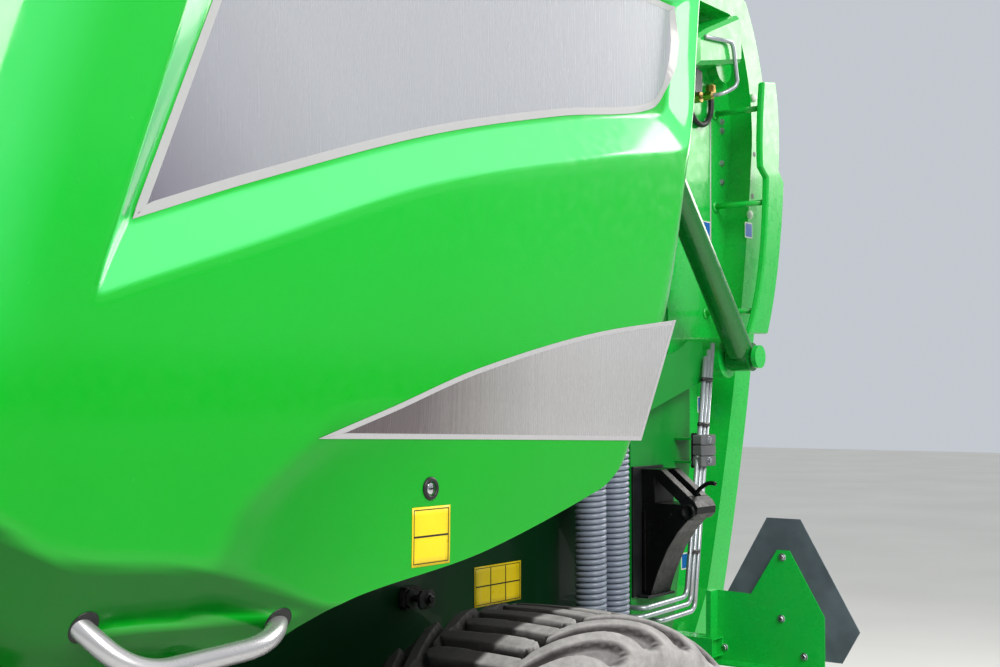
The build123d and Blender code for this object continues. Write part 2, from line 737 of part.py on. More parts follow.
# Net box with its roll and lid
NET_BACK = 1050 + SEAT
NET_FRONT = 1400.0
NET_LOW = 1400.0
NET_TOP = 1880.0
NET_HALF = 690.0
LID_HINGE = (1072.0, 1905.0)
with BuildPart() as net_box:
    with BuildSketch(side(NET_HALF)):
        with BuildLine():
            Polyline(
                (NET_BACK, NET_TOP), (NET_BACK, NET_LOW), (1330, NET_LOW), (NET_FRONT, 1470),
                (NET_FRONT, 1560),
            )
            Polyline(
                (NET_FRONT, 1560), (NET_FRONT - SHEET, 1560), (NET_FRONT - SHEET, 1472),
                (1328, NET_LOW + SHEET), (NET_BACK + SHEET, NET_LOW + SHEET),
                (NET_BACK + SHEET, NET_TOP), (NET_BACK, NET_TOP),
            )
        make_face()
    extrude(amount=2 * NET_HALF)
    for y in (NET_HALF, SHEET - NET_HALF):
        with BuildSketch(side(y)):
            with BuildLine():
                Polyline(
                    (NET_BACK, NET_TOP), (NET_BACK, NET_LOW), (1330, NET_LOW), (NET_FRONT, 1470),
                    (NET_FRONT, 1760), (1290, NET_TOP), (NET_BACK, NET_TOP),
                )
            make_face()
        extrude(amount=SHEET)
    for y in (-500, 500):
        with BuildSketch(side(y + 30)):
            with Locations(LID_HINGE):
                Circle(16)
            with BuildLine():
                Polyline(
                    (NET_BACK, NET_TOP - 40), (NET_BACK, 1905), (1075, 1920), (1088, 1905),
                    (NET_BACK + 14, NET_TOP - 40), (NET_BACK, NET_TOP - 40),
                )
            make_face()
            with Locations(LID_HINGE):
                Circle(8, mode=Mode.SUBTRACT)
        extrude(amount=60)
finish(net_box, "net_box")

with BuildPart() as net_roll:
    bar((1225, 1400 + SHEET + 150), 145, SHEET + SEAT - NET_HALF, NET_HALF - SHEET - SEAT)
finish(net_roll, "net_roll")

with BuildPart() as net_lid:
    with BuildSketch(side(NET_HALF + 8)):
        with BuildLine():
            Polyline((1092, 1912), (1300, 1912))
            ThreePointArc((1300, 1912), (1395, 1868), (1425, 1770))
            Polyline((1425, 1770), (1425, 1500), (1418, 1500), (1418, 1770))
            ThreePointArc((1418, 1770), (1390, 1863), (1300, 1905))
            Polyline((1300, 1905), (1092, 1905), (1092, 1912))
        make_face()
    extrude(amount=2 * (NET_HALF + 8))
    for y in (-450, 550):
        bar(LID_HINGE, 7.4, y - 100 + 12, y + 12)
        with BuildSketch(side(y + 12)):
            with BuildLine():
                Polyline(
                    (LID_HINGE[0], LID_HINGE[1] - 7), (LID_HINGE[0], LID_HINGE[1] + 7),
                    (1110, 1912), (1110, 1900), (LID_HINGE[0], LID_HINGE[1] - 7),
                )
            make_face()
        extrude(amount=12)
finish(net_lid, "net_lid")

# Belt springs
SPRING_LENGTH = SPRING_HIGH - SPRING_LOW
with BuildPart() as belt_springs:
    for hand in (1, -1):
        for x in SPRING_PLACES:
            with Locations((AXLE_X + x, hand * SPRING_Y, (SPRING_LOW + SPRING_HIGH) / 2)):
                Cylinder(SPRING_R, SPRING_LENGTH)
                Cylinder(SPRING_R - SPRING_WIRE, SPRING_LENGTH, mode=Mode.SUBTRACT)
                Cylinder(SPRING_ROD_R, SPRING_LENGTH + 2 * ROD_OVER)
            for z in (SPRING_LOW + 12, SPRING_HIGH - 12):
                with Locations((AXLE_X + x, hand * SPRING_Y, z)):
                    Cylinder(SPRING_R - SPRING_WIRE + 1, 24)
finish(belt_springs, "belt_springs")

# Wheel chocks in their holders on the rear ribs: outline as (across, up), seen from the front
CHOCK_X = -950.0
CHOCK_WIDTH = 150.0
CHOCK_SLOT = [(752, 1402), (768, 1420), (880, 1372), (868, 1344), (800, 1352)]
with BuildPart() as chocks:
    with BuildSketch(front(CHOCK_X - CHOCK_WIDTH / 2)):
        with BuildLine():
            Polyline((RIB_OUT + 8, 1090), (RIB_OUT + 8, 1443), (RIB_OUT + 32, 1443), (895, 1388))
            ThreePointArc((895, 1388), (925, 1360), (912, 1330))
            ThreePointArc((912, 1330), (800, 1215), (730, 1090))
            Line((730, 1090), (RIB_OUT + 8, 1090))
        make_face()
        Polygon(*CHOCK_SLOT, align=None, mode=Mode.SUBTRACT)
    extrude(amount=CHOCK_WIDTH)
    # holder plate on the rib, with its two bolts
    with BuildSketch(front(CHOCK_X - CHOCK_WIDTH / 2)):
        with Locations((RIB_OUT + SEAT + 3.7, 1280)):
            Rectangle(7.4, 360)
    extrude(amount=CHOCK_WIDTH + 40)
    # knob that locks the chock
    with BuildSketch(front(CHOCK_X + CHOCK_WIDTH / 2)):
        with Locations((905, 1352)):
            Circle(22)
    extrude(amount=26)
    mirror(about=Plane.XZ)
finish(chocks, "chocks")

# Steel pipes with their clamp block on each rear rib
PIPE_R = 7.0
PIPE_ROUTES = [
    [(-1205, 765, 1780), (-1085, 765, 1062), (-815, 765, 1055), (-815, WALL_OUT + SEAT, 1055)],
    [(-1183, 765, 1760), (-1063, 765, 1084), (-835, 765, 1077), (-835, WALL_OUT + SEAT, 1077)],
    [(-1227, 765, 1800), (-1107, 765, 1040), (-925, 765, 1033), (-925, RIB_OUT + SEAT, 1033)],
]
with BuildPart() as pipes_left:
    for route in PIPE_ROUTES:
        along([(AXLE_X + x, y, z) for x, y, z in route], PIPE_R, 0)
    with Locations((AXLE_X - 1153, (752 + SEAT + 783) / 2, CLAMP_Z)):
        Box(90, 783 - 752 - SEAT, 96)

with BuildPart() as pipes:
    add(pipes_left.part)
    mirror(pipes_left.part, about=Plane.XZ)
finish(pipes, "pipes")

# Sign bracket and its plate on the left, and the same bracket with a marker plate on the right
SIGN_X = -897.0
SIGN_Y = 1134.0
SIGN_TOP = 1331.0
SIGN_WIDTH = 406.0
SIGN_HEIGHT = 352.0
BRACKET = 4.0
with BuildPart() as sign_bracket_left:
    with BuildSketch(front(SIGN_X - BRACKET)):
        with BuildLine():
            Polyline(
                (SIGN_Y - 17, SIGN_TOP - 81), (SIGN_Y + 17, SIGN_TOP - 81), (1245, 1089),
                (1245, 950), (930, 950), (945, 1134), (1042, 1131), (SIGN_Y - 17, SIGN_TOP - 81),
            )
        make_face()
    extrude(amount=BRACKET)
    with BuildSketch(level(950)):
        Polygon((SIGN_X, 930), (SIGN_X, 1245), (SIGN_X + 60, 1245), (SIGN_X + 60, 930), align=None)
    extrude(amount=BRACKET)
    with BuildSketch(side(960)):
        with Locations((SIGN_X + 30, 990)):
            Rectangle(60, 50)
            Rectangle(50, 40, mode=Mode.SUBTRACT)
    extrude(amount=960 - RIB_OUT - SEAT)
finish(sign_bracket_left, "sign_bracket_left")

with BuildPart() as sign_bracket_right:
    mirror(sign_bracket_left.part, about=Plane.XZ)
finish(sign_bracket_right, "sign_bracket_right")

with BuildPart() as sign_plate:
    with BuildSketch(front(SIGN_X - BRACKET - SEAT - 3)):
        Polygon(
            (SIGN_Y - 47, SIGN_TOP), (SIGN_Y + 47, SIGN_TOP),
            (SIGN_Y + SIGN_WIDTH / 2, SIGN_TOP - SIGN_HEIGHT + 81),
            (SIGN_Y + SIGN_WIDTH / 2 - 47, SIGN_TOP - SIGN_HEIGHT),
            (SIGN_Y - SIGN_WIDTH / 2 + 47, SIGN_TOP - SIGN_HEIGHT),
            (SIGN_Y - SIGN_WIDTH / 2, SIGN_TOP - SIGN_HEIGHT + 81),
            align=None,
        )
    extrude(amount=3)
finish(sign_plate, "sign_plate")

with BuildPart() as marker_plate:
    with BuildSketch(front(SIGN_X - BRACKET - SEAT - 3)):
        with Locations((-(SIGN_Y + SIGN_WIDTH / 2) + 120, 1140)):
            RectangleRounded(240, 300, 12)
    extrude(amount=3)
finish(marker_plate, "marker_plate")

# Rear lamps under the brackets
with BuildPart() as rear_lamps:
    for hand in (1, -1):
        with Locations((AXLE_X + SIGN_X - 20, hand * 1130, 895)):
            Box(70, 200, 90)
        with Locations((AXLE_X + SIGN_X + 20, hand * 1130, (940 + 950 - SEAT) / 2)):
            Box(30, 120, 950 - SEAT - 940)
finish(rear_lamps, "rear_lamps")

# Drawbar: cross beam, two converging beams, and the head with its ring
BEAM_BACK = 1035.0
BEAM_BACK_Y = 430.0
BEAM_FRONT_Y = 100.0
BEAM_WALL = 8.0
with BuildPart() as cross_beam:
    with BuildSketch(side(CHAMBER_HALF - SEAT)):
        with Locations((BEAM_BACK - 50, BEAM_Z)):
            Rectangle(100, BEAM_HEIGHT)
            Rectangle(100 - 2 * BEAM_WALL, BEAM_HEIGHT - 2 * BEAM_WALL, mode=Mode.SUBTRACT)
    extrude(amount=2 * (CHAMBER_HALF - SEAT))
finish(cross_beam, "cross_beam")

with BuildPart() as drawbar_left:
    with BuildSketch(level(BEAM_Z - BEAM_HEIGHT / 2)) as beam_plan:
        Polygon(
            (BEAM_BACK + SEAT, BEAM_BACK_Y - BEAM_WIDTH / 2), (HEAD_X, BEAM_FRONT_Y - BEAM_WIDTH / 2),
            (HEAD_X, BEAM_FRONT_Y + BEAM_WIDTH / 2), (BEAM_BACK + SEAT, BEAM_BACK_Y + BEAM_WIDTH / 2),
            align=None,
        )
    extrude(amount=BEAM_HEIGHT)
    with BuildSketch(level(BEAM_Z - BEAM_HEIGHT / 2 + BEAM_WALL)):
        Polygon(
            (BEAM_BACK - 1, BEAM_BACK_Y - BEAM_WIDTH / 2 + BEAM_WALL),
            (HEAD_X - BEAM_WALL, BEAM_FRONT_Y - BEAM_WIDTH / 2 + BEAM_WALL),
            (HEAD_X - BEAM_WALL, BEAM_FRONT_Y + BEAM_WIDTH / 2 - BEAM_WALL),
            (BEAM_BACK - 1, BEAM_BACK_Y + BEAM_WIDTH / 2 - BEAM_WALL),
            align=None,
        )
    extrude(amount=BEAM_HEIGHT - 2 * BEAM_WALL, mode=Mode.SUBTRACT)
finish(drawbar_left, "drawbar_left")

with BuildPart() as drawbar_right:
    mirror(drawbar_left.part, about=Plane.XZ)
finish(drawbar_right, "drawbar_right")

HEAD_THICK = 40.0
CRADLE_TOP = SHAFT_Z - 57
with BuildPart() as drawbar_head:
    with BuildSketch(level(RING_Z - 60)):
        with Locations((HEAD_X + SEAT + HEAD_THICK / 2, 0)):
            Rectangle(HEAD_THICK, 2 * BEAM_FRONT_Y + BEAM_WIDTH)
    extrude(amount=BEAM_Z + BEAM_HEIGHT / 2 - RING_Z + 60)
    with BuildSketch(side(15)):
        Polygon(
            (HEAD_X - 60, BEAM_Z + 75), (HEAD_X + 40, BEAM_Z + 75), (HEAD_X + 40, SHAFT_Z - 120),
            (HEAD_X - 20, CRADLE_TOP - 13), (HEAD_X - 60, CRADLE_TOP - 13), align=None,
        )
    extrude(amount=30)
    with BuildSketch(side(60)):
        Polygon(
            (HEAD_X - 60, CRADLE_TOP - 13), (HEAD_X - 20, CRADLE_TOP - 13),
            (HEAD_X - 20, CRADLE_TOP), (HEAD_X - 60, CRADLE_TOP), align=None,
        )
    extrude(amount=120)
finish(drawbar_head, "drawbar_head")

with BuildPart() as tow_ring:
    with BuildSketch(front(HEAD_X + HEAD_THICK + 2 * SEAT)):
        with Locations((0, RING_Z)):
            Rectangle(150, 110)
    extrude(amount=20)
    with BuildSketch(level(RING_Z - RING_THICK / 2)):
        Polygon(
            (HEAD_X + HEAD_THICK + 20, -50), (RING_X - 30, -42), (RING_X - 30, 42),
            (HEAD_X + HEAD_THICK + 20, 50), align=None,
        )
        with Locations((RING_X, 0)):
            Circle(RING_OUT_R)
            Circle(RING_HOLE_R, mode=Mode.SUBTRACT)
    extrude(amount=RING_THICK)
finish(tow_ring, "tow_ring")

# Gearbox on the cross beam, its cross shaft and the power take-off shaft
GEARBOX_BACK = 860.0
GEARBOX_FRONT = 1180.0
GEARBOX_LOW = BEAM_Z + BEAM_HEIGHT / 2 + SEAT
with BuildPart() as gearbox:
    with BuildSketch(level(GEARBOX_LOW)):
        with Locations(((GEARBOX_BACK + GEARBOX_FRONT) / 2, 0)):
            RectangleRounded(GEARBOX_FRONT - GEARBOX_BACK, 280, 40)
    extrude(amount=SHAFT_Z + 135 - GEARBOX_LOW)
    bar((GEARBOX_BACK + 100, SHAFT_Z + 10), 42, 140, CHAMBER_HALF - SEAT)
    bar((GEARBOX_BACK + 100, SHAFT_Z + 10), 42, SEAT - CHAMBER_HALF, -140)
    with BuildSketch(front(GEARBOX_FRONT)):
        with Locations((0, SHAFT_Z)):
            Circle(60)
    extrude(amount=20)
    with BuildSketch(front(GEARBOX_FRONT + 20)):
        with Locations((0, SHAFT_Z)):
            Circle(17.5)
    extrude(amount=60)
finish(gearbox, "gearbox")

SHAFT_BACK = GEARBOX_FRONT + 80 + SEAT
YOKE_BORE_R = 17.5
with BuildPart() as pto_shaft:
    with BuildSketch(side(0)):
        with BuildLine():
            Polyline(
                (SHAFT_BACK, SHAFT_Z), (SHAFT_BACK, SHAFT_Z + 60), (SHAFT_BACK + 110, SHAFT_Z + 76),
                (SHAFT_BACK + 190, SHAFT_Z + 40), (1880, SHAFT_Z + 40), (1880, SHAFT_Z + 34),
                (SHAFT_FRONT - 270, SHAFT_Z + 34), (SHAFT_FRONT - 170, SHAFT_Z + 62),
                (SHAFT_FRONT - 80, SHAFT_Z + 55), (SHAFT_FRONT - 80, SHAFT_Z + 30),
                (SHAFT_FRONT, SHAFT_Z + 30), (SHAFT_FRONT, SHAFT_Z + YOKE_BORE_R),
                (SHAFT_FRONT - 70, SHAFT_Z + YOKE_BORE_R), (SHAFT_FRONT - 70, SHAFT_Z),
                close=True,
            )
        make_face()
    revolve(axis=Axis((AXLE_X, 0, SHAFT_Z), (1, 0, 0)))
finish(pto_shaft, "pto_shaft")

# Parking jack on the left beam
JACK_TUBE = 90.0
LEG_TUBE = 76.0
JACK_LOW = 780.0
JACK_HIGH = 1180.0
FOOT = 200.0
with BuildPart() as jack_sleeve:
    with BuildSketch(level(JACK_LOW)):
        with Locations((JACK_X, JACK_Y)):
            Rectangle(JACK_TUBE, JACK_TUBE)
            Rectangle(LEG_TUBE + 2 * PIN_PLAY, LEG_TUBE + 2 * PIN_PLAY, mode=Mode.SUBTRACT)
    extrude(amount=JACK_HIGH - JACK_LOW)
    with BuildSketch(level(BEAM_Z - 60)):
        Polygon(
            (JACK_X - 90, 229), (JACK_X + 90, 191), (JACK_X + 90, JACK_Y - JACK_TUBE / 2),
            (JACK_X - 90, JACK_Y - JACK_TUBE / 2), align=None,
        )
    extrude(amount=120)
    add(drawbar_left.part, mode=Mode.SUBTRACT)
finish(jack_sleeve, "jack_sleeve")

with BuildPart() as jack_leg:
    with BuildSketch(level(20)):
        with Locations((JACK_X, JACK_Y)):
            Rectangle(LEG_TUBE, LEG_TUBE)
            Rectangle(LEG_TUBE - 12, LEG_TUBE - 12, mode=Mode.SUBTRACT)
    extrude(amount=JACK_HIGH + 20)
    with BuildSketch(level(0)):
        with Locations((JACK_X, JACK_Y)):
            RectangleRounded(FOOT, FOOT, 20)
    extrude(amount=20)
    with BuildSketch(level(JACK_HIGH + 40)):
        with Locations((JACK_X, JACK_Y)):
            Rectangle(LEG_TUBE + 14, LEG_TUBE + 14)
    extrude(amount=14)
finish(jack_leg, "jack_leg")

# Feed rotor with star tines, and the floor below it
STARS = 9
STAR_PITCH = 128.0
with BuildPart() as feed_rotor:
    bar(ROTOR, 60, 8 - CHAMBER_HALF, CHAMBER_HALF - 8)
    bar(ROTOR, ROTOR_STUB_R - PIN_PLAY, -WALL_OUT - 12, WALL_OUT + 12)
    for star in range(STARS):
        y = (star - (STARS - 1) / 2) * STAR_PITCH
        with BuildSketch(side(y + 7)):
            with Locations(ROTOR):
                with PolarLocations(0, 4, start_angle=star * 22.5):
                    Polygon(
                        (0, -70), (ROTOR_TIP_R - 30, -22), (ROTOR_TIP_R, 30), (0, 70), align=None,
                    )
        extrude(amount=14)
finish(feed_rotor, "feed_rotor")

with BuildPart() as feed_floor:
    with BuildSketch(side(CHAMBER_HALF - SEAT)):
        with Locations(ROTOR):
            Circle(ROTOR_TIP_R + 22)
            Circle(ROTOR_TIP_R + 14, mode=Mode.SUBTRACT)
        with Locations((ROTOR[0], ROTOR[1] + 240)):
            Rectangle(640, 560, mode=Mode.SUBTRACT)
    extrude(amount=2 * (CHAMBER_HALF - SEAT))
finish(feed_floor, "feed_floor")

# Pickup: side plates and arms, cross beam, stripper bands, reel, gauge wheels and crop guard
PICKUP_BEAM = (975.0, 330.0)
REEL_SHAFT_R = 22.0
PLATE = 8.0
with BuildPart() as pickup_side:
    with BuildSketch(side(PICKUP_HALF + PLATE)):
        with Locations(REEL):
            Circle(205)
        with Locations(PICKUP_BEAM):
            Circle(55)
        with BuildLine():
            Polyline((960, 276), (1240, 275), (1300, 675), (1130, 700), (930, 360), (960, 276))
        make_face()
        with Locations(REEL):
            Circle(REEL_SHAFT_R + PIN_PLAY, mode=Mode.SUBTRACT)
    extrude(amount=PLATE)
    bar(GAUGE_AT, 16, PICKUP_HALF + PLATE, PICKUP_HALF + PLATE + 32 + GAUGE_WIDTH)
    bar(GUARD_PIVOT, GUARD_PIN_R, PICKUP_HALF - 40, PICKUP_HALF)

with BuildPart() as pickup_sides:
    add(pickup_side.part)
    mirror(pickup_side.part, about=Plane.XZ)
finish(pickup_sides, "pickup_sides")

with BuildPart() as pickup_beam:
    with BuildSketch(side(PICKUP_HALF - SEAT)):
        with Locations(PICKUP_BEAM):
            Rectangle(60, 60)
            Rectangle(48, 48, mode=Mode.SUBTRACT)
    extrude(amount=2 * (PICKUP_HALF - SEAT))
    for y in (PICKUP_ARM_Y + 12, -PICKUP_ARM_Y):
        with BuildSketch(side(y)):
            with BuildLine():
                Polyline((700, 690), (955, 300), (995, 305), (995, 350), (765, 720), (700, 690))
            make_face()
            with Locations(PICKUP_PIVOT):
                Circle(38)
                Circle(PICKUP_PIN_R + PIN_PLAY, mode=Mode.SUBTRACT)
        extrude(amount=12)
finish(pickup_beam, "pickup_beam")

# Stripper band's outer corners round the reel, from its foot on the beam to its tail over the rotor
BAND_TURNS = [-128, -104, -80, -52, -24, 4, 32, 60, 88, 108]
BAND_FOOT = (PICKUP_BEAM[0] + 30 + SEAT, 345)
BAND_TAIL = (1000, 600)
BAND_SHEET = 4.0


def band_points(radius, lift):
    """Corners of a band round the reel at a radius, its two ends moved by lift."""
    ring = [
        (REEL[0] + radius * cos(radians(turn)), REEL[1] + radius * sin(radians(turn)))
        for turn in BAND_TURNS
    ]
    return [(BAND_FOOT[0], BAND_FOOT[1] + lift), *ring, (BAND_TAIL[0], BAND_TAIL[1] - lift)]


with BuildPart() as pickup_bands:
    for band in range(TINE_ROWS + 1):
        y = (band - TINE_ROWS / 2) * TINE_PITCH + BAND_WIDTH / 2
        with BuildSketch(side(y)):
            Polygon(
                *band_points(BAND_R, 0), *reversed(band_points(BAND_R - BAND_SHEET, BAND_SHEET)),
                align=None,
            )
        extrude(amount=BAND_WIDTH)
finish(pickup_bands, "pickup_bands")

with BuildPart() as pickup_reel:
    bar(REEL, REEL_SHAFT_R, -PICKUP_HALF - PLATE - 10, PICKUP_HALF + PLATE + 10)
    for y in (-PICKUP_HALF + 20, 0, PICKUP_HALF - 14):
        with BuildSketch(side(y)):
            with Locations(REEL):
                Circle(140)
        extrude(amount=6)
    with BuildSketch(side(PICKUP_HALF - 14)):
        with Locations(REEL):
            with PolarLocations(BAR_CIRCLE, TINE_BARS):
                RegularPolygon(15, 6)
    extrude(amount=2 * (PICKUP_HALF - 14))
    for row in range(TINE_ROWS):
        y = (row - (TINE_ROWS - 1) / 2) * TINE_PITCH
        with BuildSketch(side(y + 3)):
            with Locations(REEL):
                with PolarLocations(BAR_CIRCLE, TINE_BARS):
                    Polygon(
                        (0, -5), (TINE_TIP_R - BAR_CIRCLE, -16), (TINE_TIP_R - BAR_CIRCLE, -10),
                        (0, 5), align=None,
                    )
        extrude(amount=6)
finish(pickup_reel, "pickup_reel")

with BuildPart() as gauge_wheel_left:
    with BuildSketch(side(PICKUP_HALF + PLATE + 15 + GAUGE_WIDTH)):
        with Locations(GAUGE_AT):
            Circle(GAUGE_R)
            Circle(16 + PIN_PLAY, mode=Mode.SUBTRACT)
    extrude(amount=GAUGE_WIDTH)
    chamfer(gauge_wheel_left.edges().filter_by(GeomType.CIRCLE).group_by(SortBy.RADIUS)[-1], 28)
finish(gauge_wheel_left, "gauge_wheel_left")

with BuildPart() as gauge_wheel_right:
    mirror(gauge_wheel_left.part, about=Plane.XZ)
finish(gauge_wheel_right, "gauge_wheel_right")

GUARD_ARM_Y = PICKUP_HALF - 30
with BuildPart() as crop_guard:
    for y in (GUARD_ARM_Y, -GUARD_ARM_Y + 8):
        with BuildSketch(side(y)):
            with BuildLine():
                Polyline(
                    (1110, 645), (1150, 790), (1350, 815), (1590, 740), (1570, 700), (1350, 780),
                    (1175, 760), (1150, 635), (1110, 645),
                )
            make_face()
            with Locations(GUARD_PIVOT):
                Circle(26)
                Circle(GUARD_PIN_R + PIN_PLAY, mode=Mode.SUBTRACT)
        extrude(amount=8)
    bar((1580, 722), 45, 8 - GUARD_ARM_Y, GUARD_ARM_Y - 8)
    bar((1330, 795), 18, 8 - GUARD_ARM_Y, GUARD_ARM_Y - 8)
finish(crop_guard, "crop_guard")
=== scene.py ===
import math
import bmesh
import bpy
import numpy as np
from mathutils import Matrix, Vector


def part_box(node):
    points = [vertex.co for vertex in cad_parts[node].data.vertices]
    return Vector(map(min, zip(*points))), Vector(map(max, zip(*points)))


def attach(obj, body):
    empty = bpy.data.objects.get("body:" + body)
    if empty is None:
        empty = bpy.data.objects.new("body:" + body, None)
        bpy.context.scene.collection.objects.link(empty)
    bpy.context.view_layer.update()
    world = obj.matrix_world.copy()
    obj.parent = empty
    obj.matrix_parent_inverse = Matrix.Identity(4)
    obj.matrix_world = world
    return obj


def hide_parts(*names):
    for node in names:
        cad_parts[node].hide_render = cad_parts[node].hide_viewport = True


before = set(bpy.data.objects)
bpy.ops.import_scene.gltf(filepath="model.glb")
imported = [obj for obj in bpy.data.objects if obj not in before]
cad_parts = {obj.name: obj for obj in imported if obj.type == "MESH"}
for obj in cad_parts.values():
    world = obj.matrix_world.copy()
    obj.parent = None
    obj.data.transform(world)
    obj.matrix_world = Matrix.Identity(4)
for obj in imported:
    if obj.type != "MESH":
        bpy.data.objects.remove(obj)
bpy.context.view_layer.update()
AXLE_X = sum(corner.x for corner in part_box("axle_beam")) / 2

# Working values are in millimetres: forward of the axle, to the left, up from the ground


def place(points):
    """Working millimetres to the frame's metres: forward is counted from the axle."""
    points = np.asarray(points, float) / 1000
    return points + np.array([AXLE_X, 0, 0])


# Meshes

def add_piece(name, vertices, faces, body, slot, finish, smooth=True, weld=True):
    """One mesh object from whole arrays of corners and faces; doubled corners are merged."""
    mesh = bpy.data.meshes.new(name)
    mesh.from_pydata(vertices.tolist(), [], faces)
    if weld:
        work = bmesh.new()
        work.from_mesh(mesh)
        bmesh.ops.remove_doubles(work, verts=work.verts, dist=2e-6)
        bmesh.ops.dissolve_degenerate(work, edges=work.edges, dist=1e-7)
        bmesh.ops.recalc_face_normals(work, faces=work.faces)
        work.to_mesh(mesh)
        work.free()
    mesh.polygons.foreach_set("use_smooth", np.full(len(mesh.polygons), smooth))
    mesh.materials.append(finish)
    piece = bpy.data.objects.new(name, mesh)
    bpy.context.scene.collection.objects.link(piece)
    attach(piece, body)
    return piece


def grid_faces(rows, columns, wrap_rows=False, wrap_columns=False, start=0):
    """Four-cornered faces of a grid of corners, row by row, joined round where it wraps."""
    r = np.arange(rows if wrap_rows else rows - 1)
    c = np.arange(columns if wrap_columns else columns - 1)
    r, c = np.meshgrid(r, c, indexing="ij")
    r2, c2 = (r + 1) % rows, (c + 1) % columns
    corners = np.stack([r * columns + c, r * columns + c2, r2 * columns + c2, r2 * columns + c], -1)
    return (corners.reshape(-1, 4) + start).tolist()


def sheet_piece(name, grid, body, slot, finish, flip=False, **options):
    """A surface from its grid of points, one point for each pair of parameters."""
    rows, columns = grid.shape[:2]
    faces = grid_faces(rows, columns)
    if flip:
        faces = [face[::-1] for face in faces]
    return add_piece(name, place(grid.reshape(-1, 3)), faces, body, slot, finish, **options)


def frames_along(path, up):
    """Unit vectors to the side and up at each point of a path, square to its run."""
    run = np.gradient(path, axis=0)
    run /= np.linalg.norm(run, axis=1)[:, None]
    side = np.cross(run, up)
    side /= np.linalg.norm(side, axis=1)[:, None]
    return side, np.cross(side, run)


def tube_grid(path, radius, up=(0, 0, 1), sides=16):
    """Circle carried along a path: point = path + radius (cos a side + sin a rise), ends closed."""
    path = np.asarray(path, float)
    side, rise = frames_along(path, np.asarray(up, float))
    angle = np.linspace(0, 2 * np.pi, sides, endpoint=False)
    radius = np.broadcast_to(np.asarray(radius, float), len(path))
    path = np.concatenate([path[:1], path, path[-1:]])
    side = np.concatenate([side[:1], side, side[-1:]])
    rise = np.concatenate([rise[:1], rise, rise[-1:]])
    radius = np.concatenate([[0], radius, [0]])
    ring = np.cos(angle)[:, None] * side[:, None] + np.sin(angle)[:, None] * rise[:, None]
    return path[:, None] + radius[:, None, None] * ring


def many(name, grids, body, slot, finish, wrap_columns=True, **options):
    """Several grids joined into one piece, each closed round its second parameter."""
    vertices, faces = [], []
    count = 0
    for grid in grids:
        rows, columns = grid.shape[:2]
        vertices.append(grid.reshape(-1, 3))
        faces += grid_faces(rows, columns, wrap_columns=wrap_columns, start=count)
        count += rows * columns
    return add_piece(name, place(np.concatenate(vertices)), faces, body, slot, finish, **options)


def bent(points, radius, steps=8):
    """Path with rounded corners: each corner is a quadratic curve between two points on its arms."""
    points = np.asarray(points, float)
    parts = [points[:1]]
    t = np.linspace(0, 1, steps)[:, None]
    for before, corner, after in zip(points[:-2], points[1:-1], points[2:]):
        a = corner + (before - corner) * radius / np.linalg.norm(before - corner)
        b = corner + (after - corner) * radius / np.linalg.norm(after - corner)
        parts.append((1 - t) ** 2 * a + 2 * t * (1 - t) * corner + t ** 2 * b)
    parts.append(points[-1:])
    return np.concatenate(parts)


def eased(keys, values, at):
    """Monotone cubic through key values: slopes are zero at turns and harmonic means elsewhere."""
    keys, values, at = (np.asarray(a, float) for a in (keys, values, at))
    flat = values.reshape(len(keys), -1)
    step = np.diff(keys)[:, None]
    rise = np.diff(flat, axis=0) / step
    product = rise[:-1] * rise[1:]
    mean = np.where(product > 0, 2 * product / np.where(product > 0, rise[:-1] + rise[1:], 1), 0)
    slope = np.concatenate([rise[:1], mean, rise[-1:]])
    i = np.clip(np.searchsorted(keys, at, side="right") - 1, 0, len(keys) - 2)
    h = step[i]
    t = (at - keys[i])[:, None] / h
    out = ((1 + 2 * t) * (1 - t) ** 2 * flat[i] + t * (1 - t) ** 2 * h * slope[i]
           + t * t * (3 - 2 * t) * flat[i + 1] + t * t * (t - 1) * h * slope[i + 1])
    return out.reshape((len(at),) + values.shape[1:])


def smooth_step(low, high, x):
    """0 below low, 1 above high, and 3t2 - 2t3 between."""
    t = np.clip((x - low) / (high - low), 0, 1)
    return t * t * (3 - 2 * t)


def mirrored(piece_grid):
    """The same grid on the machine's right."""
    return piece_grid * np.array([1, -1, 1])


# Finishes

def lin(red, green, blue):
    """Screen colour, 0 to 255, as the linear colour that Blender takes."""
    c = np.array([red, green, blue]) / 255
    return tuple(np.where(c <= 0.04045, c / 12.92, ((c + 0.055) / 1.055) ** 2.4)) + (1.0,)


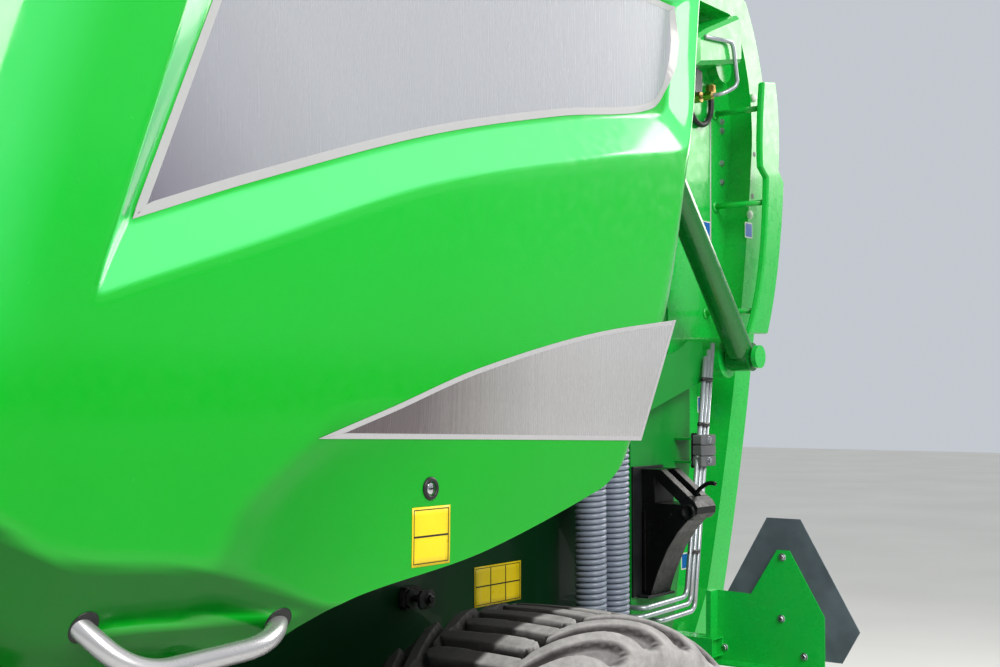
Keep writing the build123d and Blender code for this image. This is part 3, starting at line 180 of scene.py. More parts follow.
class Finish:
    """A node material under construction: short calls add its nodes and join them."""

    def __init__(self, name, **sockets):
        self.material = bpy.data.materials.new(name)
        self.material.use_nodes = True
        self.tree = self.material.node_tree
        self.shader = self.tree.nodes["Principled BSDF"]
        for socket, value in sockets.items():
            self.shader.inputs[socket.replace("_", " ")].default_value = value
        self.place = self.tree.nodes.new("ShaderNodeTexCoord").outputs["Object"]

    def node(self, kind, outputs=0, settings=(), **inputs):
        """Adds a node; inputs are numbers, colours or other nodes' outputs."""
        node = self.tree.nodes.new("ShaderNode" + kind)
        for key, value in dict(settings).items():
            setattr(node, key, value)
        for key, value in inputs.items():
            socket = node.inputs[int(key[1:])] if key[0] == "i" and key[1:].isdigit() else node.inputs[key]
            if isinstance(value, bpy.types.NodeSocket):
                self.tree.links.new(value, socket)
            else:
                socket.default_value = value
        return node.outputs[outputs]

    def noise(self, scale, detail=4.0, stretch=(1, 1, 1), rough=0.5):
        """Noise on Object coordinates, stretched along an axis where asked."""
        at = self.node("Mapping", Vector=self.place, Scale=stretch)
        return self.node("TexNoise", Vector=at, Scale=scale, Detail=detail, Roughness=rough)

    def ramp(self, factor, *stops):
        """Colour ramp with (place, colour) stops."""
        node = self.tree.nodes.new("ShaderNodeValToRGB")
        self.tree.links.new(factor, node.inputs[0])
        ramp = node.color_ramp
        while len(ramp.elements) < len(stops):
            ramp.elements.new(0.5)
        for element, (position, colour) in zip(ramp.elements, stops):
            element.position = position
            element.color = colour
        return node.outputs[0]

    def span(self, value, low, high, to_low, to_high):
        """Value from low to high mapped to to_low to to_high."""
        return self.node("MapRange", Value=value, i1=low, i2=high, i3=to_low, i4=to_high)

    def mix(self, factor, first, second):
        """Colour between two colours."""
        return self.node("Mix", outputs=2, settings={"data_type": "RGBA"}, i0=factor, i6=first, i7=second)

    def math(self, operation, first, second=0.0):
        """One sum on numbers."""
        return self.node("Math", settings={"operation": operation}, i0=first, i1=second)

    def axis(self, name):
        """One Object coordinate, in metres."""
        split = self.tree.nodes.new("ShaderNodeSeparateXYZ")
        self.tree.links.new(self.place, split.inputs[0])
        return split.outputs[name]

    def join(self, **inputs):
        """Joins outputs to the shader's own sockets."""
        for socket, output in inputs.items():
            self.tree.links.new(output, self.shader.inputs[socket.replace("_", " ")])

    def bump(self, height, strength, distance=0.001):
        """Bump from a height."""
        self.join(Normal=self.node("Bump", Height=height, Strength=strength, Distance=distance))


def paint(name, colour, shade, rough=0.28, coat=0.5, dust=0.12, dust_colour=(150, 140, 110), painted_light_stops=None):
    """Sprayed paint: slight colour drift, fine peel, and dust that gathers in patches low down. Given stops, the
    colour and the coat follow the corners' tone instead, which holds painted light and painted shade."""
    f = Finish(name, Roughness=rough, Coat_Weight=coat, Coat_Roughness=0.06)
    drift = f.mix(f.span(f.noise(1.3), 0.3, 0.7, 0, 1), lin(*colour), lin(*shade))
    if painted_light_stops:
        tone = f.node("Attribute", outputs=2, settings={"attribute_name": "tone"})
        drift = f.ramp(f.math("ADD", tone, f.span(f.noise(1.3), 0.3, 0.7, -0.02, 0.02)),
                       *[(at, lin(*stop)) for at, stop in painted_light_stops])
        f.join(Coat_Weight=f.span(tone, 0.1, 0.5, 0.03, coat))
        f.shader.inputs["Specular IOR Level"].default_value = 0.3
    low = f.span(f.axis("Z"), 0.2, 2.2, 1.0, 0.15)
    patch = f.span(f.noise(9, 8, rough=0.65), 0.45, 0.8, 0, dust)
    f.join(Base_Color=f.mix(f.math("MULTIPLY", patch, low), drift, lin(*dust_colour)))
    f.join(Roughness=f.span(f.noise(35, 6), 0.3, 0.75, rough - 0.06, rough + 0.16))
    f.bump(f.noise(260, 2), 0.06, 0.0006)
    return f.material


def moulded(name, colour, rough, grain=420, depth=0.12, tone=1.5):
    """Moulded plastic or rubber: fine grain and soft scuffs."""
    f = Finish(name, Roughness=rough)
    lighter = tuple(min(255, c * tone + 6) for c in colour)
    f.join(Base_Color=f.mix(f.span(f.noise(14, 7), 0.42, 0.75, 0, 1), lin(*colour), lin(*lighter)))
    f.join(Roughness=f.span(f.noise(60, 5), 0.3, 0.7, rough - 0.08, rough + 0.1))
    f.bump(f.noise(grain, 3), depth, 0.0008)
    return f.material


def metal(name, colour, dark, rough, stretch=(1, 1, 1), scale=40, metallic=1.0):
    """Bare or plated metal: streaks along its run, darker where it is handled."""
    f = Finish(name, Metallic=metallic, Roughness=rough)
    f.join(Base_Color=f.mix(f.span(f.noise(scale, 8, stretch), 0.35, 0.7, 0, 1), lin(*colour), lin(*dark)))
    f.join(Roughness=f.span(f.noise(scale * 2, 5, stretch), 0.3, 0.7, rough - 0.08, rough + 0.14))
    f.bump(f.noise(scale * 6, 2, stretch), 0.08, 0.0005)
    return f.material


frame_green = paint("frame_green", (6, 118, 40), (4, 100, 34), 0.3, 0.25, 0.2)
# Brighter than the same green on the covers and frame: painted light for the sun on the tailgate.
tail_green_painted_light = paint("tail_green_painted_light", (18, 196, 70), (12, 178, 58), 0.26, 0.35, 0.08)
cover_green = paint("cover_green", (12, 184, 52), (8, 172, 46), 0.12, 0.6, 0.02)
# Cover skin paint: its stops run from painted shade (dark greens) to a painted sky reflection (mint), read from the
# tone attribute.
skin_green_painted_light = paint("skin_green_painted_light", (12, 184, 52), (8, 172, 46), 0.12, 0.6, 0.02, painted_light_stops=(
    (0.0, (1, 92, 16)), (0.1, (2, 120, 24)), (0.4, (4, 172, 32)), (0.5, (8, 184, 46)),
    (0.8, (60, 208, 100)), (1.0, (84, 222, 124))))
dark_green = paint("dark_green", (4, 80, 32), (2, 62, 26), 0.34, 0.2, 0.25)
ram_green = paint("ram_green", (8, 118, 40), (6, 100, 34), 0.2, 0.5, 0.04)


def wall_paint_with_painted_shade():
    """Chassis walls, with painted shade: dark where the covers shade them, bright from the rear ribs rearwards."""
    f = Finish("wall_green_painted_shade", Roughness=0.34, Coat_Weight=0.2)
    # Painted shade: the dark paint forward of the rear ribs, the bright paint rearwards of them.
    rear = f.span(f.axis("X"), AXLE_X - 0.78, AXLE_X - 0.86, 0, 1)
    f.join(Base_Color=f.mix(rear, f.mix(f.noise(5), lin(2, 50, 20), lin(2, 40, 16)),
                            f.mix(f.noise(5), lin(8, 150, 48), lin(6, 128, 40))))
    f.shader.inputs["Specular IOR Level"].default_value = 0.22
    f.bump(f.noise(260, 2), 0.06, 0.0006)
    return f.material


wall_green_painted_shade = wall_paint_with_painted_shade()
grey_paint = paint("grey_paint", (196, 198, 200), (178, 180, 182), 0.3, 0.4, 0.2)
tube_paint = metal("tube_paint", (206, 205, 208), (186, 185, 190), 0.26, (1, 1, 1), 5, 0.7)
spring_grey = paint("spring_grey", (140, 149, 168), (120, 130, 148), 0.36, 0.3, 0.1)
black_plastic = moulded("black_plastic", (18, 20, 22), 0.42)
guard_plastic = moulded("guard_plastic", (14, 14, 15), 0.38, tone=1.7)
tyre_rubber = moulded("tyre_rubber", (58, 52, 48), 0.78, 180, 0.3, 1.7)
belt_rubber = moulded("belt_rubber", (26, 26, 27), 0.7, 160, 0.35)
zinc = metal("zinc", (205, 210, 216), (150, 155, 162), 0.3)
pipe_zinc = metal("pipe_zinc", (186, 194, 200), (168, 176, 184), 0.34, (6, 6, 1), 8, 0.75)
clip_grey = moulded("clip_grey", (84, 87, 90), 0.5, 300, 0.1, 1.2)
chock_black = moulded("chock_black", (10, 12, 12), 0.34, 300, 0.04, 1.3)
chock_black.node_tree.nodes["Principled BSDF"].inputs["Specular IOR Level"].default_value = 0.22
brass = metal("brass", (196, 160, 84), (150, 118, 60), 0.3)
cap_white = moulded("cap_white", (222, 224, 220), 0.35, 300, 0.04, 1.02)
sticker_blue = moulded("sticker_blue", (22, 96, 190), 0.34, 400, 0.03, 1.05)
orange_face = moulded("orange_face", (236, 84, 22), 0.3, 400, 0.04, 1.04)
red_edge = moulded("red_edge", (176, 18, 20), 0.26, 900, 0.2, 1.1)
bare_steel = metal("bare_steel", (150, 148, 146), (96, 88, 80), 0.36)
dark_steel = metal("dark_steel", (84, 84, 86), (48, 44, 42), 0.42)
chrome = metal("chrome", (222, 224, 228), (205, 208, 212), 0.08)
casting = metal("casting", (40, 44, 48), (26, 28, 30), 0.5, metallic=0.3)
plate_back = moulded("plate_back", (80, 92, 99), 0.36, 500, 0.05, 1.15)
lens_red = Finish("lens_red", Roughness=0.12, Coat_Weight=0.8)
lens_red.join(Base_Color=lens_red.mix(
    lens_red.span(lens_red.noise(30), 0.4, 0.6, 0, 1), lin(170, 12, 10), lin(130, 6, 8)))
lens_red.bump(lens_red.node("TexVoronoi", Vector=lens_red.place, Scale=160.0), 0.4, 0.001)
label_yellow = moulded("label_yellow", (246, 214, 22), 0.34, 500, 0.03, 1.02)
net_white = moulded("net_white", (205, 208, 204), 0.8, 260, 0.5, 1.1)

NODES_BY_FINISH = (
    (frame_green, "axle_beam crop_guard cross_beam drawbar_head drawbar_left drawbar_right net_box"
                  " pickup_beam pickup_sides roof_panel tailgate_tubes"),
    (tail_green_painted_light, "sign_bracket_left sign_bracket_right tailgate_guards tailgate_roof"
                 " tailgate_wall_left tailgate_wall_right"),
    (wall_green_painted_shade, "side_wall_left side_wall_right"),
    (cover_green, "cover_left cover_right net_lid"),
    (dark_green, "feed_floor"),
    (ram_green, "ram_barrel_left ram_barrel_right"),
    (grey_paint, "rim_left rim_right trim_left trim_right"),
    (tube_paint, "grab_left grab_right"),
    (spring_grey, "belt_springs"),
    (belt_rubber, "chassis_belts tailgate_belts"),
    (tyre_rubber, "gauge_wheel_left gauge_wheel_right tyre_left tyre_right"),
    (black_plastic, "chocks jack_sleeve"),
    (guard_plastic, "pto_shaft"),
    (plate_back, "marker_plate sign_plate"),
    (bare_steel, "chassis_rollers jack_leg pickup_bands tailgate_rollers tow_ring"),
    (dark_steel, "feed_rotor pickup_reel"),
    (casting, "gearbox"),
    (chrome, "ram_rod_left ram_rod_right"),
    (zinc, "pipes"),
    (net_white, "net_roll"),
    (lens_red.material, "rear_lamps"),
)
for finish, nodes in NODES_BY_FINISH:
    for node in nodes.split():
        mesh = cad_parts[node].data
        mesh.materials.clear()
        mesh.materials.append(finish)

# Side cover's skin
REAR_EDGE = np.array([(-60, 1525), (-89, 1553), (-139, 1637), (-207, 1755), (-260, 1899), (-307, 2081),
                      (-355, 2246), (-416, 2557), (-450, 2790)])
CREASE_X = ([1492, 1837, 2018, 2158, 2590, 2860], [1409, 1401, 1361, 1311, 1105, 960])
NOSE_X = ([1190, 1340, 2060, 2700, 2860], [1570, 1600, 1560, 1250, 1105])
BEVEL_LOW_OUT = ([-500, -380, -286, 60, 566, 1003, 1274, 1700],
                 [2222, 2206, 2186, 2120, 2008, 1861, 1769, 1600])
BEVEL_LOW_IN = ([-500, -330, -242, 129, 506, 958, 1184, 1700],
                [2306, 2290, 2274, 2201, 2109, 1964, 1885, 1700])
BEVEL_FRONT_OUT = ([1500, 1769, 2202, 2590, 2700], [1365, 1274, 1120, 982, 940])
BEVEL_FRONT_IN = ([1500, 1769, 1885, 2231, 2540, 2700], [1310, 1228, 1184, 1035, 902, 835])
FACET_LINE = ([700, 786, 820, 938, 1066, 1307, 1409, 1500, 1600],
              [1200, 1317, 1322, 1363, 1403, 1437, 1492, 1560, 1640])
FOLD_LINE = ([1300, 1403, 1430, 1470, 1506, 1580, 1700], [1090, 1066, 1050, 1030, 985, 873, 740])
RECESS, FACET_SLOPE, FACET_KNEE, FOLD_DEPTH = 50.0, 0.46, 120.0, 9.0
COVER_OUT, SIDE_CROWN, HEIGHT_CROWN = 1200.0, 6.0, 8.0
EDGE_ROLL, ROLL_RUN, NOSE_DROP, TOP_ROUND = 20.0, 45.0, 150.0, 345.0


def along(line, at):
    """Height or place on an edge line: monotone cubic inside its keys, level outside them."""
    keys, values = line
    at = np.asarray(at, float)
    return eased(keys, values, np.clip(at, keys[0], keys[-1]).ravel()).reshape(at.shape)


def recess_depth(x, z):
    """Share of the recess's depth before its edges are rounded: the soft least of five ramps."""
    low = (z - along(BEVEL_LOW_OUT, x)) / (along(BEVEL_LOW_IN, x) - along(BEVEL_LOW_OUT, x))
    ahead = along(BEVEL_FRONT_OUT, z)
    front = (ahead - x) / (ahead - along(BEVEL_FRONT_IN, z))
    rear_x = np.interp(z, REAR_EDGE[:, 1], REAR_EDGE[:, 0])
    rear = (x - rear_x - 14) / 58
    corner = ((x + 340) * 0.816 + (z - 2222) * 0.578) / 62
    top = (2590 - z) / 50
    inside = np.stack([low, front, rear, corner, top])
    return -np.log(np.exp(-9 * np.clip(inside, -3, 6)).sum(0)) / 9


def skin_out(x, z):
    """How far out the skin lies at (forward, up): a crowned side, less the recess with its
    bevels, the tucked-under facet below, and the soft fold in front of the lower flash."""
    y = COVER_OUT - SIDE_CROWN * ((x - 450) / 950) ** 2 - HEIGHT_CROWN * ((z - 1900) / 600) ** 2
    nearest = recess_depth(x, z)
    rounded = np.where(nearest < 0.12, np.clip(nearest + 0.12, 0, 1) ** 2 / 0.48, nearest)
    rounded = np.where(nearest > 0.88, 1 - np.clip(1.12 - nearest, 0, 1) ** 2 / 0.48, rounded)
    y = y - RECESS * np.clip(rounded, 0, 1)
    below = np.clip(along(FACET_LINE, x) - z, 0, None)
    y = y - FACET_SLOPE * np.minimum(below, FACET_KNEE) - np.clip(below - FACET_KNEE, 0, None)
    behind = along(FOLD_LINE, z) - x
    fold = smooth_step(-10, 110, behind) * smooth_step(1640, 1520, z) * smooth_step(700, 120, behind)
    return y - FOLD_DEPTH * fold


def cover_grid():
    """Skin of the left cover over rows (bottom to top) and columns (rear to front). Key points are
    joined by monotone cubics both ways, so that rows and columns run along the bevels, and the
    distance out is skin_out less the rolls at the rear and top edges and round the nose. The second
    row is kept above the first, so that the grid never folds over at the rim."""
    lower = [
        [(-60, 1525), (40, 1464), (110, 1444), (453, 1364), (786, 1317), (960, 1238), (1150, 1200),
         (1270, 1192), (1400, 1190), (1570, 1195)],
        [(-66, 1532), (38, 1470), (108, 1450), (453, 1371), (788, 1323), (960, 1371), (1150, 1419),
         (1270, 1432), (1409, 1492), (1600, 1560)],
        [(-160, 1674), (-50, 1655), (30, 1645), (430, 1600), (765, 1580), (962, 1580), (1165, 1590),
         (1275, 1600), (1408, 1660), (1597, 1720)],
        [(-258, 1895), (-150, 1880), (-80, 1868), (400, 1800), (745, 1735), (958, 1705), (1185, 1680),
         (1276, 1690), (1404, 1780), (1582, 1860)],
        [(-347, 2218), (-330, 2206), (-262, 2181), (400, 2045), (745, 1948), (958, 1876), (1190, 1797),
         (1274, 1769), (1401, 1850), (1572, 1930)],
        [(-374, 2330), (-356, 2318), (-292, 2290), (400, 2135), (745, 2032), (958, 1964), (1184, 1885),
         (1229, 1895), (1390, 1925), (1566, 2010)],
        [(-392, 2430), (-376, 2426), (-318, 2416), (250, 2345), (560, 2295), (800, 2260), (1035, 2231),
         (1112, 2225), (1290, 2215), (1485, 2230)],
        [(-413, 2540), (-399, 2540), (-341, 2540), (100, 2540), (400, 2540), (640, 2540), (902, 2540),
         (1000, 2540), (1131, 2540), (1325, 2540)],
        [(-423, 2590), (-409, 2590), (-351, 2590), (90, 2590), (380, 2590), (620, 2590), (880, 2590),
         (982, 2590), (1105, 2590), (1304, 2590)],
    ]
    shares = np.array([0, 0.01, 0.05, 0.31, 0.5, 0.67, 0.84, 0.91, 1.0])
    upper = []
    for height, rear in ((2650, -432), (2730, -444), (2790, -450), (2835, -428), (2856, -400)):
        crease, nose = np.interp(height, *CREASE_X), np.interp(height, *NOSE_X)
        row = [(rear + share * (crease - rear), height) for share in shares]
        upper.append(row + [(nose, height)])
    keys = np.array(lower + upper, float)
    row_cuts = [18, 12, 12, 16, 22, 18, 14, 12, 6, 8, 8, 6, 4]
    column_cuts = [5, 12, 30, 22, 16, 20, 16, 14, 22]
    row_at, column_at = (
        np.concatenate([np.linspace(i, i + 1, n, endpoint=False) for i, n in enumerate(cuts)] + [[len(cuts)]])
        for cuts in (row_cuts, column_cuts))
    half = eased(np.arange(keys.shape[1]), keys.transpose(1, 0, 2), column_at).transpose(1, 0, 2)
    half[1, :, 1] = np.maximum(half[1, :, 1], half[0, :, 1] + 6)
    plan = eased(np.arange(keys.shape[0]), half, row_at)
    x, z = plan[..., 0], plan[..., 1]
    crease = np.argmin(abs(column_at - 8))
    turn = np.clip(column_at - 8, 0, 1)[None]
    span_x = x[:, -1:] - x[:, crease:crease + 1]
    x = np.where(turn > 0, x[:, crease:crease + 1] + span_x * np.sin(turn * np.pi / 2), x)
    y = skin_out(np.minimum(x, x[:, crease:crease + 1] + 20), z)
    nose = NOSE_DROP * (1 - np.cos(turn * np.pi / 2))
    over = np.clip(z - 2600, 0, 258) / 258
    top = TOP_ROUND * (1 - np.sqrt(np.clip(1 - over ** 2, 0, 1)))
    y = y - (nose ** 3 + top ** 3) ** (1 / 3)
    edge = np.hypot(x - x[:, :1], z - z[:, :1])
    y = y - EDGE_ROLL * np.clip(1 - edge / ROLL_RUN, 0, 1) ** 2
    skin = np.stack([x, y, z], -1)
    wall = skin[:, -1:] * np.array([1, 0, 1]) + np.array([-12, 1, 0]) * np.array([1, 860, 0])
    return np.concatenate([skin, wall], 1)


def give_wall(piece, thickness):
    """Thickness inwards from the outer skin."""
    shell = piece.modifiers.new("wall", "SOLIDIFY")
    shell.thickness = thickness
    shell.offset = -1


def give_painted_light(piece, values):
    """One number at each corner, which a finish reads by the name tone; here it carries painted light and painted
    shade.
    """
    attribute = piece.data.attributes.new("tone", "FLOAT", "POINT")
    attribute.data.foreach_set("value", np.asarray(values, np.float32).ravel())


def cover_painted_light(shape):
    """Painted light on the cover's paint, as its tone: above 0.5 a painted sky reflection on the bevels and painted
    highlights round the nose and along the facet's ridge; below 0.5 painted shade on what is tucked under, low down
    and along the fold.
    """
    x, z = shape[..., 0], shape[..., 2]
    depth = recess_depth(x, z)
    bevel = smooth_step(0.0, 0.1, depth) * smooth_step(1.0, 0.9, depth) * smooth_step(1500, 1250, x)
    under = smooth_step(0, 14, along(FACET_LINE, x) - z)
    low = smooth_step(2050, 1420, z) * (1 - under)
    crease = np.interp(z, *CREASE_X)
    nose_highlight = smooth_step(crease - 90, crease + 60, x) * smooth_step(1550, 1900, z)
    behind = along(FOLD_LINE, z) - x
    fold = smooth_step(-8, 40, behind) * smooth_step(520, 60, behind) * smooth_step(1640, 1560, z) * (1 - under)
    ridge_highlight = np.exp(-((z - 1309 - 0.06 * (x - 870)) / 7) ** 2)
    ridge_highlight = ridge_highlight * smooth_step(850, 930, x) * smooth_step(1270, 1190, x)
    return np.clip(0.5 + 0.5 * bevel - 0.46 * under - 0.14 * low + 0.26 * nose_highlight - 0.12 * fold
                   + 0.5 * ridge_highlight * under, 0, 1)


COVER_WALL = 0.007
skin = cover_grid()
for hand, shape in (("left", skin), ("right", mirrored(skin))):
    cover = sheet_piece(f"cover_skin_{hand}", shape, f"cover_{hand}", "cover_plastic", skin_green_painted_light,
                        flip=hand == "left", weld=False)
    # Painted light and painted shade go onto the skin as its tone.
    give_painted_light(cover, cover_painted_light(skin))
    give_wall(cover, COVER_WALL)
    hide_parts(f"cover_{hand}")


# Flat trim on the skin
PANEL_LOW = [(-341, 2450), (-326, 2388), (-296, 2330), (-238, 2282), (129, 2205), (506, 2113), (958, 1968),
             (1176, 1890)]
PANEL_HIGH = [(-345, 2536), (-200, 2536), (904, 2536)]
FLASH_LOW = [(-100, 1552), (400, 1566), (855, 1578)]
FLASH_HIGH = [(-246, 1811), (62, 1773), (454, 1694), (700, 1622), (855, 1578)]


def by_length(points, count):
    """Smooth curve through points, at equal steps of the length along them."""
    points = np.asarray(points, float)
    length = np.concatenate([[0], np.cumsum(np.hypot(*np.diff(points, axis=0).T))])
    return eased(length, points, np.linspace(0, length[-1], count))


def on_skin(flat, lift):
    """Points (forward, up) put on the skin, lifted off it; an array keeps its grid shape."""
    x, z = flat[..., 0], flat[..., 1]
    return np.stack([x, skin_out(x, z) + lift, z], -1)


def between(low, high, rows):
    """Ruled grid of flat points: (1 - v) low(u) + v high(u)."""
    v = np.linspace(0, 1, rows)[:, None, None]
    return (1 - v) * low[None] + v * high[None]


def ring_inside(loop, width):
    """Closed strip of flat points: a loop and the same loop moved inwards by width, mitred. A point
    moves less where it would come nearer to another side of the loop than it has moved."""
    ahead = np.roll(loop, -1, 0) - loop
    ahead /= np.linalg.norm(ahead, axis=1)[:, None]
    normal = np.stack([-ahead[:, 1], ahead[:, 0]], 1)
    area = (loop[:, 0] * np.roll(loop[:, 1], -1) - loop[:, 1] * np.roll(loop[:, 0], -1)).sum()
    normal *= np.sign(area)
    mean = normal + np.roll(normal, 1, 0)
    mean /= np.linalg.norm(mean, axis=1)[:, None]
    reach = 1 / np.clip((mean * normal).sum(1), 0.02, 1)
    reach = np.where(reach > 3.4, 0.05, reach)
    share = np.linspace(0.04, 1, 25)[:, None, None]
    tried = loop + share * mean * (width * reach)[:, None]
    along_side = np.roll(loop, -1, 0) - loop
    gap = tried[:, :, None] - loop[None, None]
    foot = np.clip((gap * along_side).sum(-1) / (along_side ** 2).sum(-1), 0, 1)
    far = np.linalg.norm(gap - foot[..., None] * along_side, axis=-1).min(-1)
    good = np.logical_and.accumulate(far >= 0.96 * width * share[..., 0], axis=0)
    inner = tried[np.clip(good.sum(0) - 1, 0, None), np.arange(len(loop))]
    return np.stack([loop, inner])


def closed_loop(low, high, side_steps=12):
    """Outline of the ruled grid between two curves, in one direction, with no point twice."""
    t = np.linspace(0, 1, side_steps)[1:-1, None]
    front = low[-1] + t * (high[-1] - low[-1])
    rear = high[0] + t * (low[0] - high[0])
    loop = np.concatenate([low, front, high[::-1], rear])
    step = np.linalg.norm(loop - np.roll(loop, 1, 0), axis=1)
    return loop[step > 1e-6]


def film_rings(name, rings, body, slot, finish, hand):
    """Thin closed strips, each two rows of points: the outer loop and the inner one."""
    faces, count = [], 0
    for ring in rings:
        faces += grid_faces(2, ring.shape[1], wrap_columns=True, start=count)
        count += 2 * ring.shape[1]
    if hand > 0:
        faces = [face[::-1] for face in faces]
    points = np.concatenate([ring.reshape(-1, 3) for ring in rings])
    piece = add_piece(name, place(points), faces, body, slot, finish, smooth=False, weld=False)
    give_wall(piece, 0.0003)
    return piece


def strip_piece(name, loop, width, lift, body, slot, finish, hand):
    """Raised strip along a closed outline on the skin."""
    strip = on_skin(ring_inside(loop, width), lift) * [1, hand, 1]
    return film_rings(name, [strip], body, slot, finish, hand)


def silver_film(name, tip, run, stops, grain):
    """Silver film, dark at its tip: the ramp runs along a direction in the side view (metres)."""
    f = Finish(name, Metallic=0.35, Roughness=0.24, Coat_Weight=0.6, Coat_Roughness=0.05)
    ahead = f.math("MULTIPLY", f.math("SUBTRACT", f.axis("X"), tip[0]), run[0])
    rise = f.math("MULTIPLY", f.math("SUBTRACT", f.axis("Z"), tip[1]), run[1])
    shade = f.math("ADD", ahead, rise)
    lines = f.noise(40, 6, (7, 1, 0.05), 0.7)
    streak = f.math("ADD", shade, f.span(lines, 0.3, 0.7, -grain, grain))
    f.join(Base_Color=f.ramp(streak, *[(at, lin(*colour)) for at, colour in stops]))
    f.join(Roughness=f.span(f.noise(50, 4, (5, 1, 0.1)), 0.3, 0.7, 0.27 - 0.8 * grain, 0.27 + 0.8 * grain))
    return f.material


panel_film = silver_film(
    "panel_film", (AXLE_X + 1.190, 1.880), (-1.7, 1.3),
    [(0.0, (104, 97, 114)), (0.22, (142, 138, 153)), (0.6, (170, 171, 181)), (1.0, (180, 182, 190))], 0.01)
flash_film = silver_film(
    "flash_film", (AXLE_X + 0.855, 1.578), (-1.25, 0.0),
    [(0.0, (86, 76, 80)), (0.3, (112, 104, 106)), (0.55, (164, 162, 162)), (0.75, (186, 184, 186)),
     (1.0, (192, 192, 194))], 0.05)
edge_finish = Finish("film_edge", Roughness=0.3, Coat_Weight=0.3)
edge_finish.join(Base_Color=edge_finish.mix(edge_finish.noise(2), lin(184, 183, 187), lin(176, 176, 180)))
film_edge = edge_finish.material

FILM_LIFT, EDGE_LIFT = 0.8, 1.3
panel_flat = between(by_length(PANEL_LOW, 110), by_length(PANEL_HIGH, 110), 40)
flash_flat = between(by_length(FLASH_LOW, 90), by_length(FLASH_HIGH, 90), 20)
for hand, name in ((1, "left"), (-1, "right")):
    body = f"cover_{name}"
    for part, flat, finish, width in (
            ("panel", panel_flat, panel_film, 15), ("flash", flash_flat, flash_film, 9)):
        grid = on_skin(flat, FILM_LIFT)
        grid = grid if hand > 0 else mirrored(grid)
        film = sheet_piece(f"{part}_film_{name}", grid, body, "silver_panel", finish, flip=hand > 0, weld=False)
        give_wall(film, 0.0006)
        loop = closed_loop(flat[0], flat[-1])
        strip_piece(f"{part}_edge_{name}", loop, width, EDGE_LIFT, body, "silver_panel", film_edge, hand)
        if part == "panel":
            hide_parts(f"trim_{name}")


# Turned shapes: bolts and caps
def turned(centre, profile, axis="y", hand=1, sides=24, start=0.0):
    """Profile of (radius, out) pairs turned about an axis through a centre; flat sides when few."""
    profile = np.asarray(profile, float)
    angle = np.linspace(0, 2 * np.pi, sides, endpoint=False) + start
    radius, out = profile[:, :1], profile[:, 1:] * hand
    a, b = radius * np.cos(angle), radius * np.sin(angle)
    out = np.broadcast_to(out, a.shape)
    order = {"y": (a, out, b), "x": (out, a, b), "z": (a, b, out)}[axis]
    return np.stack(order, -1) + np.asarray(centre, float)


def hex_bolt(centre, size, axis="y", hand=1):
    """Bolt head of six sides with a washer and a worn top edge; size is across its corners."""
    r = size / 2
    head = turned(centre, [(0, r * 0.95), (r * 0.8, r * 0.95), (r, r * 0.8), (r, 2), (0, 2)], axis, hand, 6, 0.3)
    washer = turned(centre, [(0, 2.2), (r * 1.25, 2.2), (r * 1.35, 1.6), (r * 1.35, -1), (0, -1)], axis, hand, 20)
    return [head, washer]


def dome_cap(centre, radius, axis="y", hand=1):
    """Moulded cap over a bolt: a quarter ellipse on a short skirt."""
    t = np.linspace(0, np.pi / 2, 7)
    profile = [(radius * np.sin(a), radius * 0.45 + radius * 0.55 * np.cos(a)) for a in t] + [(radius, 0), (0, 0)]
    return [turned(centre, profile, axis, hand, 20)]


# Labels, lock and grab rails
def flat_loop(points, steps=6):
    """Closed outline of straight sides, each cut into equal steps."""
    points = np.asarray(points, float)
    t = np.linspace(0, 1, steps, endpoint=False)[:, None]
    return np.concatenate([a + t * (b - a) for a, b in zip(points, np.roll(points, -1, 0))])


def label(name, at, size, cells, body, hand, out=None):
    """Blank yellow label with a dark frame and dividers, on the skin or on a flat wall at out."""
    (x, z), (wide, high) = at, size
    lay = on_skin if out is None else (
        lambda flat, lift: np.stack([flat[..., 0], np.full(flat[..., 0].shape, out + lift), flat[..., 1]], -1))
    across = np.linspace(x - wide / 2, x + wide / 2, 7)
    up = np.linspace(z - high / 2, z + high / 2, 7)
    face = lay(np.stack(np.meshgrid(across, up), -1), 0.9) * [1, hand, 1]
    sheet = sheet_piece(f"{name}_sheet", face, body, "silver_panel", label_yellow, flip=hand > 0, weld=False)
    give_wall(sheet, 0.0005)
    lines = []
    columns, rows = cells
    wide, high = wide - 8, high - 8
    for column in range(columns):
        for row in range(rows):
            a, b = x - wide / 2 + wide * column / columns, x - wide / 2 + wide * (column + 1) / columns
            c, d = z - high / 2 + high * row / rows, z - high / 2 + high * (row + 1) / rows
            loop = flat_loop([(a, c), (b, c), (b, d), (a, d)])
            lines.append(lay(ring_inside(loop, 1.6), 1.2) * [1, hand, 1])
    film_rings(f"{name}_lines", lines, body, "silver_panel", black_plastic, hand)


for hand, name in ((1, "left"), (-1, "right")):
    body = f"cover_{name}"
    label(f"label_{name}", (578, 1407), (98, 100), (1, 2), body, hand)
    lock = np.array([580, float(skin_out(np.array(580.0), np.array(1487.0))), 1487]) * [1, hand, 1]
    ring = turned(lock, [(12, 1), (13, 4), (17.5, 4), (20, 1.5), (20, -3), (12, -3), (12, 1)], "y", hand, 28)
    many(f"lock_ring_{name}", [ring], body, "black_plastic", black_plastic)
    core = turned(lock, [(0, 1.6), (9.5, 1.6), (10.8, 0.6), (10.8, -3), (0, -3)], "y", hand, 24)
    many(f"lock_core_{name}", [core], body, "bare_steel", chrome)
    slot_bar = turned(lock + [0, 0.6 * hand, 0], [(0, 2), (6.5, 2), (6.5, 0), (0, 0)], "y", hand, 4, 0.6)
    many(f"lock_slot_{name}", [(slot_bar - lock) * [1, 1, 0.35] + lock], body, "black_plastic", black_plastic)

